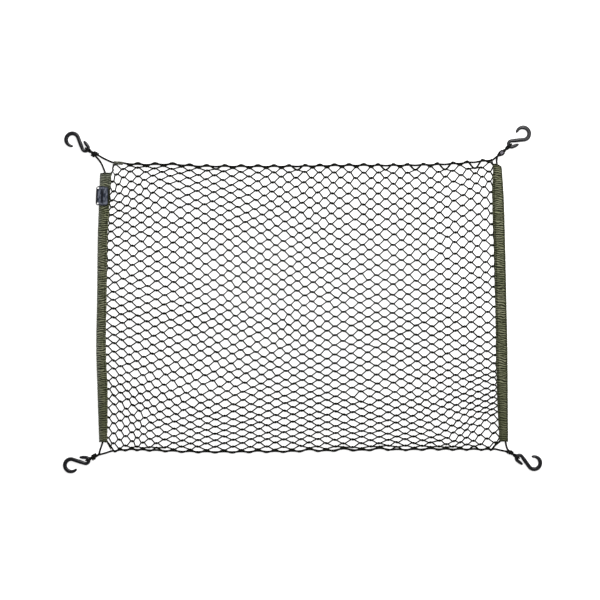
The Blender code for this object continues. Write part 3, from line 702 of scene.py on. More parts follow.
def use_group(tree, group, **values):
    node = tree.nodes.new("ShaderNodeGroup")
    node.node_tree = group
    for name, value in values.items():
        feed(tree, node.inputs[name], value)
    return node.outputs


def place_on_piece(tree):
    return tree.nodes.new("ShaderNodeTexCoord").outputs["Object"]


def place_along_strand(tree):
    """Turns round the strand and metres along it."""
    source = tree.nodes.new("ShaderNodeUVMap")
    source.uv_map = "along"
    parts = tree.nodes.new("ShaderNodeSeparateXYZ")
    tree.links.new(source.outputs["UV"], parts.inputs["Vector"])
    return {"Around": parts.outputs["X"], "Along": parts.outputs["Y"]}


def read_mark(tree, name):
    """A value that the piece holds at each of its points."""
    node = tree.nodes.new("ShaderNodeAttribute")
    node.attribute_name = name
    return node.outputs["Fac"]


def add_relief(tree, shader, height, depth, strength=1.0):
    bump = tree.nodes.new("ShaderNodeBump")
    bump.inputs["Strength"].default_value = strength
    bump.inputs["Distance"].default_value = depth * MM
    tree.links.new(height, bump.inputs["Height"])
    tree.links.new(bump.outputs["Normal"], shader.inputs["Normal"])


def mix_colours(tree, factor, first, second, mode="MIX"):
    node = tree.nodes.new("ShaderNodeMix")
    node.data_type = "RGBA"
    node.blend_type = mode
    feed(tree, node.inputs["Factor"], factor)
    for socket, value in ((node.inputs[6], first), (node.inputs[7], second)):
        feed(tree, socket, value if isinstance(value, bpy.types.NodeSocket) else (*value, 1.0))
    return node.outputs[2]


def twine_look():
    """Near black olive polyester twine."""
    look, tree, shader = new_look("net_twine", roughness=0.8, specular=0.06)
    plies = use_group(tree, TWIST, **place_along_strand(tree), Plies=3.0, Pitch=0.0026)
    patches = use_group(tree, PATCHES, Position=place_on_piece(tree), Scale=40.0)
    toned = mix_colours(tree, patches["Mask"], TWINE_DARK, TWINE_WORN)
    lit = math_node(tree, "MULTIPLY_ADD", plies["Height"], *TWINE_LIGHT)
    tree.links.new(mix_colours(tree, 1.0, toned, lit, "MULTIPLY"), shader.inputs["Base Color"])
    add_relief(tree, shader, plies["Height"], depth=0.18)
    return look


def cord_look():
    """Black braided cover of the elastic cord, with a painted grey highlight on the face of one
    knot.
    """
    look, tree, shader = new_look("braided_cord", roughness=0.7, specular=0.09)
    braid = use_group(tree, BRAID, **place_along_strand(tree), Strands=8.0, Pitch=0.009)
    patches = use_group(tree, PATCHES, Position=place_on_piece(tree), Scale=70.0)
    dark = ramp(tree, braid["Shade"], (0.0, BRAID_DARK), (1.0, BRAID_CREST))
    dusty = mix_colours(tree, patches["Mask"], dark, BRAID_DUSTY)
    # The turns across the top right knot's face get a painted grey highlight.
    toned = mix_colours(tree, read_mark(tree, "painted_highlight"), dusty, BRAID_PAINTED_HIGHLIGHT)
    tree.links.new(toned, shader.inputs["Base Color"])
    add_relief(tree, shader, braid["Height"], depth=0.22)
    return look


def cloth_look():
    """Olive drab woven cloth with painted highlight pale on the gathers' crests and painted shade
    dark in their folds, and greyer along one side and above the label."""
    look, tree, shader = new_look("gathered_cloth", roughness=0.88, sheen=0.1,
                                  sheen_colour=CLOTH_SHEEN, specular=0.2)
    crest = read_mark(tree, "crest")
    spot = place_on_piece(tree)
    patches = use_group(tree, PATCHES, Position=spot, Scale=55.0, From=0.3, To=0.7)
    weave = use_group(tree, WEAVE, Position=spot, Threads=1600.0)
    # The crest value paints shade into the folds and highlight onto the crests.
    shade = ramp(tree, crest, *CLOTH_SHADES)
    greyer = ramp(tree, crest, *CLOTH_GREYED)
    shade = mix_colours(tree, read_mark(tree, "greyed"), shade, greyer)
    faded = mix_colours(tree, patches["Mask"], CLOTH_DEEPER, CLOTH_FADED)
    tree.links.new(mix_colours(tree, 1.0, shade, faded, "MULTIPLY"), shader.inputs["Base Color"])
    add_relief(tree, shader, weave["Height"], depth=0.08, strength=0.7)
    return look


def plastic_look():
    """Black moulded plastic with a faint grain."""
    look, tree, shader = new_look("hook_plastic", roughness=0.34, specular=0.38)
    spot = place_on_piece(tree)
    patches = use_group(tree, PATCHES, Position=spot, Scale=130.0, From=0.3, To=0.75)
    black = mix_colours(tree, patches["Mask"], PLASTIC_BLACK, PLASTIC_HANDLED)
    tree.links.new(black, shader.inputs["Base Color"])
    rough = math_node(tree, "MULTIPLY_ADD", patches["Mask"], *PLASTIC_ROUGHNESS)
    tree.links.new(rough, shader.inputs["Roughness"])
    grain = tree.nodes.new("ShaderNodeTexNoise")
    grain.inputs["Scale"].default_value = 1800.0
    tree.links.new(spot, grain.inputs["Vector"])
    add_relief(tree, shader, grain.outputs["Fac"], depth=0.05, strength=0.6)
    return look


def label_look():
    """Dark blue grey flexible tag with a darker, specked band down its middle."""
    look, tree, shader = new_look("label_face", roughness=0.5, specular=0.15)
    spot = place_on_piece(tree)
    band = read_mark(tree, "band")
    streaks = tree.nodes.new("ShaderNodeMapping")
    streaks.inputs["Scale"].default_value = (1.0, 0.35, 1.0)
    tree.links.new(spot, streaks.inputs["Vector"])
    patches = use_group(tree, PATCHES, Position=streaks.outputs["Vector"], Scale=420.0, From=0.38,
                        To=0.62)
    specks = use_group(tree, PATCHES, Position=spot, Scale=520.0, From=0.54, To=0.7)
    ground = mix_colours(tree, patches["Mask"], LABEL_DARK, LABEL_WORN)
    specked = math_node(tree, "LESS_THAN", band, BAND_SPECKED_BELOW)
    lit = math_node(tree, "MULTIPLY", specks["Mask"], specked)
    dark = mix_colours(tree, lit, BAND_DARK, BAND_SPECK)
    tree.links.new(mix_colours(tree, band, ground, dark), shader.inputs["Base Color"])
    weave = use_group(tree, WEAVE, Position=spot, Threads=1900.0)
    add_relief(tree, shader, weave["Height"], depth=0.05, strength=0.6)
    return look


def thread_look():
    """Pale and dark olive thread of the whipping."""
    look, tree, shader = new_look("whipping_thread", roughness=0.8, sheen=0.2)
    plies = use_group(tree, TWIST, **place_along_strand(tree), Plies=2.0, Pitch=0.0016)
    patches = use_group(tree, PATCHES, Position=place_on_piece(tree), Scale=270.0, From=0.43,
                        To=0.57)
    mottled = mix_colours(tree, patches["Mask"], THREAD_DARK, THREAD_PALE)
    tree.links.new(mottled, shader.inputs["Base Color"])
    add_relief(tree, shader, plies["Height"], depth=0.1)
    return look


# ---- the net ----
def net_point(half_column, half_row):
    bands = [band[0] for band in NET_BANDS]
    column_line = [blend(NET_HALF_COLUMNS, band[1:], half_column) for band in NET_BANDS]
    place = blend(bands, column_line, half_row)
    for column, row, across, down, dx, dy in TUGS:
        far = ((half_column - column) / across) ** 2 + ((half_row - row) / down) ** 2
        place = place + math.exp(-far / 2.0) * np.array((dx, dy))
    return place


def pull_at(column, pulls):
    """How far the net pulls an edge cord out of its smooth line at one half column."""
    return sum(pull * max(0.0, 1.0 - ((column - at) / PULL_REACH) ** 2) ** 2
               for at, pull in pulls.items())


def side_limit(y, outward):
    """Where the netting ends at one side, and whether that is at the sleeve or on the side twine
    past the sleeve's end."""
    side = "left" if outward < 0 else "right"
    sleeve = SLEEVES[side]["span"]
    if sleeve[-1][0] <= y <= sleeve[0][0]:
        return float(sleeve_span(sleeve, y)[1]), True
    place = ("top_" if y > 0 else "bottom_") + side
    line = sorted(SIDE_TWINES[place], key=lambda point: point[1])
    return float(np.interp(y, [point[1] for point in line], [point[0] for point in line])), False


def lay_joints():
    """Place of every joint, by half column and half row, and those of them that lie on a side
    twine past the end of a sleeve."""
    joints, pinned = {}, set()
    for row in range(NET_FIRST_ROW, NET_LAST_ROW + 1):
        for column in range(-(row % 2), NET_LAST_COLUMN + 1, 2):
            place = net_point(column, row) + chance.normal(0.0, JOINT_STRAY, 2)
            for outward in (-1.0, 1.0):
                limit, in_sleeve = side_limit(place[1], outward)
                past = (place[0] - limit) * outward
                if in_sleeve and past > SIDE_TUCK:
                    place[0] = limit + outward * SIDE_TUCK
                elif not in_sleeve and past >= -SIDE_REACH:
                    pinned.add((column, row))
                    place[0] = limit
            for edge in LONG_EDGES.values():
                if row == edge["row"]:
                    beside = CORD_RADIUS + WINDING_RADIUS + edge["slack"].get(column, 0.0)
                    place[1] = (edge_line(edge, place[0]) - edge["outward"] * beside
                                + edge["pulls"].get(column, 0.0))
            joints[column, row] = place
    return joints, pinned


def joint_ways(joints):
    """Direction of every joint: nearly along its row of joints."""
    ways = {}
    for column, row in joints:
        before = joints.get((column - 2, row), joints[column, row])
        after = joints.get((column + 2, row), joints[column, row])
        way = unit(after - before)
        lean = chance.normal(0.0, JOINT_LEAN)
        ways[column, row] = np.array((way[0] - lean * way[1], way[1] + lean * way[0]))
    return ways


def row_of_twine(joints, pinned, ways, lifts, wave):
    """One row of twine, joined in turn to the row above it and the row below it, and tied to the
    side twines where it reaches them."""
    places, radii = [], []
    for column in range(NET_FIRST_COLUMN, NET_LAST_COLUMN + 1):
        above = (column + wave) % 2 == 0
        row = wave if above else wave + 1
        if (column, row) not in joints:
            continue
        if (column, row) in pinned:
            places.append((*joints[column, row], TWINE_RADIUS))
            radii.append(TWINE_RADIUS)
            continue
        way = ways[column, row]
        aside = np.array((-way[1], way[0])) * (-JOINT_OFFSET if above else JOINT_OFFSET)
        height = lifts[column, row] + JOINT_RADIUS
        at_edge = row in (NET_FIRST_ROW, NET_LAST_ROW)
        half = JOINT_HALF * (JOINT_HALF_AT_EDGE if at_edge else 1.0)
        for reach, share, radius in JOINT_PROFILE:
            place = joints[column, row] + way * reach * half + aside * share
            places.append((*place, height))
            radii.append(radius)
    return places, radii


def make_net(look):
    joints, pinned = lay_joints()
    ways = joint_ways(joints)
    lifts = {key: JOINT_LIFT_LEAST + abs(chance.normal(0.0, JOINT_LIFT)) for key in joints}
    net = Strands(TWINE_SIDES)
    for wave in range(NET_FIRST_ROW, NET_LAST_ROW):
        places, radii = row_of_twine(joints, pinned, ways, lifts, wave)
        net.add(places, np.array(radii) * chance.uniform(1.0 - TWINE_UNEVEN, 1.0 + TWINE_UNEVEN))
    for line in SIDE_TWINES.values():
        route = np.array(smooth_route(line, SIDE_TWINE_STEP))
        net.add(route[:, :3], route[:, 3])
    return net.make("netting", look), joints


def edge_joints(joints, edge):
    """Half columns of the joints along an edge, and where they lie."""
    columns = [column for column, row in joints if row == edge["row"]]
    return columns, [joints[column, edge["row"]][0] for column in columns]


def winding_route(joints, edge):
    """The doubled edge twine winding once round the cord for each mesh: on the net's side of the
    cord at the joints, and beyond it between them, where it stands out by a share of its reach."""
    columns, spots = edge_joints(joints, edge)
    reach = CORD_RADIUS + WINDING_RADIUS - WINDING_SINK
    start, end = edge["wound"]
    places, radii = [], []
    for step in range(int((end - start) * WINDING_STEPS) + 1):
        column = start + step / WINDING_STEPS
        x = float(np.interp(column, columns, spots))
        turn = math.pi * (column - columns[0])
        outwards = -math.cos(turn) * reach
        outwards *= edge["bulge"] if outwards > 0 else 1.0
        loose = 0.0
        for at, amount in edge["slack"].items():
            window = max(0.0, 1.0 - ((column - at) / SLACK_REACH) ** 2)
            loose += window * amount * (1.0 if (at - columns[0]) % 2 else -1.0)
        y = (edge_line(edge, x) + pull_at(column, edge["pulls"])
             + edge["outward"] * (outwards + loose))
        free = min(1.0, abs(loose) / SLACK_FREE)
        z = CORD_HEIGHT + reach * math.sin(turn) * (1.0 - free) - SLACK_DROP * free
        swell = max(abs(math.cos(turn)) * (1.0 - free), free)
        radius = WINDING_RADIUS + WINDING_SWELL * swell
        places.append((x, y, max(z, radius)))
        radii.append(radius)
    return places, radii


def make_winding(look, joints):
    winding = Strands(WINDING_SIDES)
    for edge in LONG_EDGES.values():
        winding.add(*winding_route(joints, edge))
    return winding.make("edge_winding", look)


# ---- the sleeves ----
def uneven(change, along, across):
    """One of the changes over the cloth that are named above."""
    reach_along, reach_across, seed, amount = change
    return amount * noise.noise(Vector((along / reach_along, across / reach_across, seed)))


def run_of_gathers(run, along, across, wander):
    pitch, slant = run
    phase = math.pi * along / (pitch * SLEEVE_GATHER) + wander + across * slant
    return abs(math.cos(phase)) ** CREST_POWER


def gather(along, across, held_at):
    """Height of the rucked cloth, from 0 in a fold to 1 on a crest. Two runs of gathers of unlike
    pitch take turns, and a crest forks where one passes into the other. Where the cloth is held
    under the label, the folds slant towards it."""
    wander = uneven(BROAD_WANDER, along, across) + uneven(FINE_WANDER, along, across)
    if held_at is not None:
        from_label = along - held_at
        wander += LABEL_SLANT * from_label * across * bell(from_label, LABEL_SLANT_REACH)
    fine = run_of_gathers(FINE_RUN, along, across, wander)
    broad = run_of_gathers(BROAD_RUN, along, across, wander)
    share = clamp(0.5 + uneven(RUN_CHANGES, along, across))
    ridge = (1.0 - share) * fine + share * broad
    depth = GATHER_DEPTH_MEAN + uneven(DEPTH_CHANGES, along, across)
    return 1.0 - min(1.0, max(GATHER_DEPTH_LEAST, depth)) * (1.0 - ridge)


def sleeve_section(outer, inner, along, half_height, seed, held_at):
    """Points and crest values round one section: a full tube round the cord, and a flat seam
    beside the net."""
    middle, half = (outer + inner) / 2.0, abs(inner - outer) / 2.0 + SLEEVE_FULLNESS
    towards_net = math.copysign(1.0, inner - outer)
    pucker = 0.5 + 0.5 * math.cos(2 * math.pi * along / SLEEVE_STITCH)
    ring = []
    for j in range(SLEEVE_SIDES):
        angle = 2 * math.pi * j / SLEEVE_SIDES
        c, s = math.cos(angle), math.sin(angle)
        across = half * math.copysign(abs(c) ** SLEEVE_SQUARENESS[0], c)
        from_net = half - across
        seam = 1.0 / (1.0 + math.exp((from_net - SLEEVE_HEM) * SLEEVE_HEM_EASE))
        tall = half_height * (1.0 - seam) + SLEEVE_HEM_HALF * seam
        underneath = 0.0 if s >= 0 else UNDERSIDE_SHIFT
        crest = gather(along, across + underneath + seed, held_at)
        drop = SLEEVE_GATHER_DEPTH * (1.0 - crest) * (1.0 - SEAM_CALM * seam)
        line = bell(from_net - SLEEVE_HEM, SLEEVE_STITCH_HALF)
        pressed = line * (STITCH_DEPTH[0] + STITCH_DEPTH[1] * pucker)
        rise = math.copysign(abs(s) ** SLEEVE_SQUARENESS[1], s)
        lowered = tall - (drop + pressed) * abs(s) ** 0.5
        z = SLEEVE_AXIS_HEIGHT + rise * max(SLEEVE_THINNEST, lowered)
        drawn_in = math.copysign(drop * abs(c) ** 3 * SIDE_FOLD, c)
        ring.append(((middle + towards_net * (across - drawn_in), z),
                     crest * (1.0 - STITCH_SHADE * line * pucker)))
    return ring


def passage_ring(outer, inner):
    """One section of the wall round the cord, inside the sleeve."""
    middle, half = (outer + inner) / 2.0, abs(outer - inner) / 2.0
    towards_net = math.copysign(1.0, inner - outer)
    for j in range(SLEEVE_SIDES):
        angle = 2 * math.pi * j / SLEEVE_SIDES
        yield (middle + towards_net * ((half - PASSAGE_WALL) * math.cos(angle) - PASSAGE_ASIDE),
               SLEEVE_AXIS_HEIGHT + PASSAGE_HALF_HEIGHT * math.sin(angle))


def greyed_share(along, from_net, held_at):
    """How grey the cloth is: along the outer side of the sleeve that carries the label, and most
    of all above the label."""
    if held_at is None:
        return 0.0
    grey = max(most * clamp((place - start) / (full - start)) for place, (most, start, full)
               in ((from_net, GREYED_SIDE), (along - held_at, GREYED_ABOVE)))
    return clamp(grey * (GREYED_MEAN + uneven(GREYED_PATCHES, along, from_net)))


def shaded_crest(crest, y, from_net, sleeve, held_at):
    """Crest value as the cloth's colour reads it, with more painted shade at the sleeve's ends,
    along the edges of the plain sleeve and beside the label, and calmer low down."""
    top, bottom = sleeve[0][0], sleeve[-1][0]
    darker, reach = END_SHADE
    crest *= 1.0 - darker * bell(min(top - y, y - bottom), reach)
    calm = CALM_MOST * clamp((y - CALM_BELOW) / (bottom - CALM_BELOW) / CALM_REACH)
    crest += calm * (CALM_CREST - crest)
    if held_at is None:
        return crest * (1.0 - sum(darker * bell(from_net - at, reach)
                                  for darker, at, reach in PLAIN_SHADES))
    darker, reach = LABEL_SHADE
    beside = math.exp(-((y - held_at) / reach) ** 4) * (1.0 - from_net)
    return crest * (1.0 - darker * beside)


def make_sleeve(name, sleeve, look):
    """A tube of cloth whose wall turns in at both ends and runs back round the cord."""
    span, seed, held_at = sleeve["span"], sleeve["seed"], sleeve["held_at"]
    top, bottom = span[0][0], span[-1][0]
    count = round((top - bottom) / SLEEVE_RING_STEP)
    places, crests, greyed_shares = [], [], []

    def slanted(i, share):
        """Place along the sleeve of a ring, at a share of the way from the net's side of it."""
        slant = sleeve["slant"] * bell(i * SLEEVE_RING_STEP, SLEEVE_SLANT_REACH)
        return top + (bottom - top) * i / count - slant * share**2

    for i in range(count + 1):
        y = top + (bottom - top) * i / count
        outer, inner = sleeve_span(span, y)
        lip = min(1.0, 1.0 - SLEEVE_LIP + SLEEVE_LIP * min(i, count - i) / SLEEVE_LIP_RINGS)
        half_height = SLEEVE_HALF_HEIGHT * lip
        for (x, z), crest in sleeve_section(outer, inner, y, half_height, seed, held_at):
            from_net = (x - inner) / (outer - inner)
            ragged = 0.0
            if i in (0, count):
                ragged = SLEEVE_RAGGED * noise.noise(Vector((x / SLEEVE_RAGGED_REACH, z, seed)))
            places.append((x, slanted(i, from_net) + ragged, z))
            crests.append(shaded_crest(crest, y, from_net, span, held_at))
            greyed_shares.append(greyed_share(y, from_net, held_at))
    for i in range(count, -1, -PASSAGE_RING_EVERY):
        outer, inner = sleeve_span(span, top + (bottom - top) * i / count)
        for x, z in passage_ring(outer, inner):
            places.append((x, slanted(i, (x - inner) / (outer - inner)), z))
            crests.append(PASSAGE_CREST)
            greyed_shares.append(0.0)
    faces = []
    rings = len(places) // SLEEVE_SIDES
    for i in range(rings):
        here, there = i * SLEEVE_SIDES, (i + 1) % rings * SLEEVE_SIDES
        for j in range(SLEEVE_SIDES):
            k = (j + 1) % SLEEVE_SIDES
            faces.append((here + j, here + k, there + k, there + j))
    piece = new_piece(name, np.array(places) * MM, faces, look)
    mark_points(piece.data, "crest", crests)
    mark_points(piece.data, "greyed", greyed_shares)
    return piece


# ---- the cord ----
def eye_centre(corner):
    """Centre of the hook's small bow."""
    along = compass(corner["turn"])
    across = compass(corner["turn"] - 90.0)
    return (np.array(corner["bow"]) + (HOOK_EYE_RADIUS + HOOK_BOW_RADIUS) * across
            - HOOK_SHAFT_LENGTH * along)


def corner_frame(corner):
    """The knot's place on the sheet, the way from the hook's eye to it and the way across that."""
    knot = np.array(corner["knot"])
    inward = unit(knot - eye_centre(corner))
    return knot, inward, np.array((-inward[1], inward[0]))


def loop_height():
    """Height of the hook's eye over the cord that passes under it."""
    return LOOP_LOW + HOOK_EYE_BAR + LOOP_CLEARANCE + CORD_RADIUS


def loop_points(corner, first_side):
    """The doubled end of the cord: out of the knot, twisting, round the eye's bar and back."""
    knot, inward, _ = corner_frame(corner)
    bar = np.array((*(eye_centre(corner) + HOOK_EYE_RADIUS * inward), loop_height()))
    entry = knot - KNOT_ENTRY * corner["knot_size"][0] * inward
    middle = np.array((*entry, KNOT_CENTRE_HEIGHT))
    ahead, side = np.array((*inward, 0.0)), np.array((*first_side, 0.0))
    reach = HOOK_EYE_BAR + CORD_RADIUS + LOOP_EASE
    turns = [bar + reach * (math.sin(angle) * UP + math.cos(angle) * ahead)
             for angle in np.radians(LOOP_ANGLES)]
    pair = []
    for way in (1.0, -1.0):
        strand = []
        for i in range(1, LOOP_STEPS):
            share = i / LOOP_STEPS
            turn = 2 * math.pi * LOOP_TWIST * share
            wide = max(0.0, 1.0 - share / LOOP_SPREAD) ** LOOP_SPREAD_POWER
            spread = PAIR_OFFSET + (reach - PAIR_OFFSET) * wide
            strand.append(bar + (middle - bar) * share
                          + way * spread * (math.cos(turn) * UP + math.sin(turn) * side))
        pair.append(strand)
    return pair[0][::-1] + turns + pair[1]


def corner_route(corner):
    """The cord from the net's edge, through the knot, round the hook and back to the sleeve."""
    knot, _, side = corner_frame(corner)
    if side.dot(np.array(corner["towards_sleeve"][0][:2]) - knot) > 0:
        side = -side
    apart = KNOT_PASS_APART
    if corner["lie"] == "face_up":
        apart = corner["knot_size"][1] / 2.0 - CORD_RADIUS
    above = (*(knot + apart * side), KNOT_HIGH)
    below = (*(knot - apart * side), KNOT_LOW)
    return [*corner["towards_edge"][::-1], above, *loop_points(corner, side), below,
            *corner["towards_sleeve"]]


def edge_route(edge, joints):
    """The cord along a long edge, pulled a little from side to side by the winding."""
    columns, spots = edge_joints(joints, edge)
    rippled = []
    for place in smooth_route([(x, y, CORD_HEIGHT) for x, y in edge["line"]], EDGE_ROUTE_STEP):
        column = np.interp(place[0], spots, columns)
        ripple = CORD_RIPPLE * math.cos(math.pi * (column - columns[0])) * -edge["outward"]
        rippled.append(place + np.array((0.0, ripple + pull_at(column, edge["pulls"]), 0.0)))
    return rippled


def sleeve_route(sleeve):
    """The cord through a sleeve, outwards of its middle by the distances in `aside`."""
    span, last = sleeve["span"], SLEEVE_ROUTE_STEPS
    at_top, inside, at_bottom = sleeve["aside"]
    route = []
    for i in range(last + 1):
        y = span[0][0] + (span[-1][0] - span[0][0]) * i / last
        outer, inner = sleeve_span(span, y)
        aside = np.interp(i, (0, 1, last - 1, last), (at_top, inside, inside, at_bottom))
        route.append(((outer + inner) / 2.0 + math.copysign(1.0, outer) * aside, y,
                      SLEEVE_AXIS_HEIGHT))
    return route


def closed_route(points, spacing):
    """Even points on a smooth closed curve through the given ones. Points that all but meet count
    once, and the power of each length keeps the curve from bulging between a near pair."""
    points = [np.array(point, dtype=float) for point in points]
    apart = [points[0]]
    for point in points[1:]:
        if np.linalg.norm(point - apart[-1]) > ROUTE_CLOSEST:
            apart.append(point)
    wrapped = apart[-3:] + apart + apart[:3]
    lengths = [np.linalg.norm(b - a) ** ROUTE_POWER for a, b in zip(wrapped, wrapped[1:])]
    knots = np.concatenate([[0.0], np.cumsum(lengths)])
    dense = [blend(knots, wrapped, knots[i] + (knots[i + 1] - knots[i]) * k / ROUTE_PARTS)
             for i in range(3, 3 + len(apart)) for k in range(ROUTE_PARTS)]
    dense = np.array(dense + [dense[0]])
    along = np.concatenate([[0.0], np.cumsum(np.linalg.norm(np.diff(dense, axis=0), axis=1))])
    count = round(along[-1] / spacing)
    at = along[-1] * np.arange(count) / count
    return np.stack([np.interp(at, along, dense[:, k]) for k in range(3)], axis=1)


def knot_turns(corner):
    """The turns of the knot that show outside the doubled cord."""
    knot, inward, across = corner_frame(corner)
    ahead, side = np.array((*inward, 0.0)), np.array((*across, 0.0))
    half_length, half_width = (size / 2.0 - CORD_RADIUS for size in corner["knot_size"])
    middle = np.array((*knot, KNOT_CENTRE_HEIGHT))
    places = []
    least, added = FACE_RISE
    if corner["lie"] == "face_up":
        for share in np.linspace(0.0, 1.0, FACE_PLACES):
            angle = 2 * math.pi * share * FACE_TURNS + FACE_START
            places.append(middle + half_length * math.cos(angle) * ahead
                          + half_width * math.sin(angle) * side
                          + (least + added * math.sin(angle / 2.0)) * UP)
        return places
    for share in np.linspace(0.0, 1.0, KNOT_PLACES):
        angle = 2 * math.pi * KNOT_TURNS * share + KNOT_START
        travel = (2.0 * share - 1.0) * half_length + KNOT_LEANS[corner["lie"]] * math.cos(angle)
        from_end = min(share, 1.0 - share)
        tucked = 1.0 - KNOT_TUCK * max(0.0, KNOT_TUCKED - from_end) / KNOT_TUCKED
        places.append(middle + travel * ahead
                      + tucked * half_width * math.cos(angle) * side
                      + tucked * KNOT_HALF_HEIGHT * math.sin(angle) * UP)
    return places


def knot_face(corner):
    """Two turns side by side across the middle of the knot that lies face up."""
    knot, inward, across = corner_frame(corner)
    offset, half, height = FACE_CROSSING
    return [[(*(knot + across * aside * offset + inward * half * reach),
              KNOT_CENTRE_HEIGHT + height * (1.0 - reach**2))
             for reach in np.linspace(-1.0, 1.0, CROSSING_PLACES)] for aside in (-1.0, 1.0)]


def make_cord(look, joints):
    route = (edge_route(LONG_EDGES["top"], joints) + corner_route(CORNERS["top_right"])
             + sleeve_route(SLEEVES["right"]) + corner_route(CORNERS["bottom_right"])[::-1]
             + edge_route(LONG_EDGES["bottom"], joints)[::-1]
             + corner_route(CORNERS["bottom_left"]) + sleeve_route(SLEEVES["left"])[::-1]
             + corner_route(CORNERS["top_left"])[::-1])
    cord = Strands(CORD_SIDES)
    cord.add(closed_route(route, CORD_STEP), CORD_RADIUS, closed=True)
    for corner in CORNERS.values():
        cord.add(knot_turns(corner), CORD_RADIUS)
    plain = len(cord.points)
    for turn in knot_face(CORNERS["top_right"]):
        cord.add(turn, CORD_RADIUS)
    piece = cord.make("elastic_cord", look)
    # The points of the turns across that knot's face carry the painted highlight.
    mark_points(piece.data, "painted_highlight", [0.0] * plain + [1.0] * (len(cord.points) - plain))
    return piece


# ---- the hooks ----
def hook_path():
    """Centre line of a hook from its tongue's tip to its bow's tip, about the eye's centre, with
    the shaft along +Y: places and bar radii."""
    lean = math.radians(HOOK_TONGUE_LEAN)
    start = HOOK_EYE_RADIUS * np.array((math.cos(lean), math.sin(lean)))
    tip = start + HOOK_TONGUE_LENGTH * np.array((-math.sin(lean), math.cos(lean)))
    places, bars = [], []
    for share, fullness in TONGUE_ROUND:
        taper = min(1.0, share / HOOK_TONGUE_TAPER)
        places.append(tip + (start - tip) * share)
        bars.append((HOOK_TONGUE_TIP_BAR + (HOOK_EYE_BAR - HOOK_TONGUE_TIP_BAR) * taper)
                    * fullness)
    for i in range(HOOK_EYE_STEPS + 1):
        angle = lean - (math.pi + lean) * i / HOOK_EYE_STEPS
        places.append(HOOK_EYE_RADIUS * np.array((math.cos(angle), math.sin(angle))))
        bars.append(HOOK_EYE_BAR)
    for i in range(1, HOOK_SHAFT_STEPS):
        places.append(np.array((-HOOK_EYE_RADIUS, HOOK_SHAFT_LENGTH * i / HOOK_SHAFT_STEPS)))
        swell = min(1.0, i / HOOK_SHAFT_SWELL)
        bars.append(HOOK_EYE_BAR + (HOOK_SHAFT_BAR - HOOK_EYE_BAR) * swell)
    bow = np.array((-HOOK_EYE_RADIUS - HOOK_BOW_RADIUS, HOOK_SHAFT_LENGTH))
    for i in range(HOOK_BOW_STEPS + 1):
        share = i / HOOK_BOW_STEPS
        radius = HOOK_BOW_RADIUS + HOOK_BOW_OPENING * share**2
        bar = HOOK_SHAFT_BAR + (HOOK_BOW_BAR - HOOK_SHAFT_BAR) * min(1.0, share / HOOK_BOW_SWELL)
        taper = max(0.0, share - 1.0 + HOOK_BOW_TAPER) / HOOK_BOW_TAPER
        places.append(bow + radius * compass(HOOK_BOW_SWEEP * share))
        bars.append(bar + (HOOK_TIP_BAR - HOOK_BOW_BAR) * taper)
    ahead = unit(places[-1] - places[-2])
    for step, fullness in BOW_ROUND:
        places.append(places[-1] + ahead * HOOK_TIP_BAR * step)
        bars.append(HOOK_TIP_BAR * fullness)
    return np.array([(*place, 0.0) for place in places]), np.array(bars)


def hook_section(angle, share):
    """Moulded section: a channel along its upper and lower face in the shaft and the bow, and the
    mould's parting line along its sides."""
    start, end = HOOK_GROOVE_SPAN
    deepening, running_out = HOOK_GROOVE_EASE
    deep = HOOK_GROOVE * clamp(min((share - start) / deepening, (end - share) / running_out))
    off_side = abs(math.remainder(angle, math.pi))
    channel = deep * bell(off_side - math.pi / 2.0, HOOK_GROOVE_HALF)
    return 1.0 - channel + HOOK_SEAM * bell(off_side, HOOK_SEAM_HALF)


def make_hook(place, corner, look):
    """A hook laid at its corner: tilted so that its bow rests and its eye sits in the loop."""
    places, bars = hook_path()
    eye_height = loop_height() - HOOK_DROP
    tilt = math.asin((eye_height - HOOK_BOW_BAR - HOOK_REST)
                     / (HOOK_SHAFT_LENGTH + HOOK_BOW_RADIUS))
    shaft, across = compass(corner["turn"]), compass(corner["turn"] - 90.0)
    level = (eye_centre(corner) + np.outer(places[:, 0], across)
             + np.outer(places[:, 1] * math.cos(tilt), shaft))
    laid = np.column_stack([level, eye_height - places[:, 1] * math.sin(tilt)])
    hook = Strands(HOOK_SIDES)
    hook.add(laid, bars, section=hook_section)
    return hook.make("moulded_hook_" + place, look)


# ---- the label and the whipping ----
def arc(centre, radius, start, sweep, steps):
    """Points from one end of an arc to the other, in degrees."""
    return [np.array(centre) + radius * compass(start + sweep * i / steps)
            for i in range(steps + 1)]


def label_outlines():
    """Rounded rectangle, and a hole in each of the two corners that stand free."""
    far_x, far_y = LABEL_WIDTH / 2.0 - LABEL_CORNER, LABEL_LENGTH / 2.0 - LABEL_CORNER
    outer = []
    for quarter, (side, end) in enumerate(((1, 1), (-1, 1), (-1, -1), (1, -1))):
        outer += arc((side * far_x, end * far_y), LABEL_CORNER, 90.0 * quarter, 90.0,
                     LABEL_CORNER_STEPS)
    hole_x, hole_y = LABEL_HOLE_INSET - LABEL_WIDTH / 2.0, LABEL_LENGTH / 2.0 - LABEL_HOLE_INSET
    holes = [arc((hole_x, end * hole_y), LABEL_HOLE_RADIUS, 0.0, 360.0, LABEL_HOLE_STEPS)[:-1]
             for end in (1, -1)]
    return [outer, *holes]


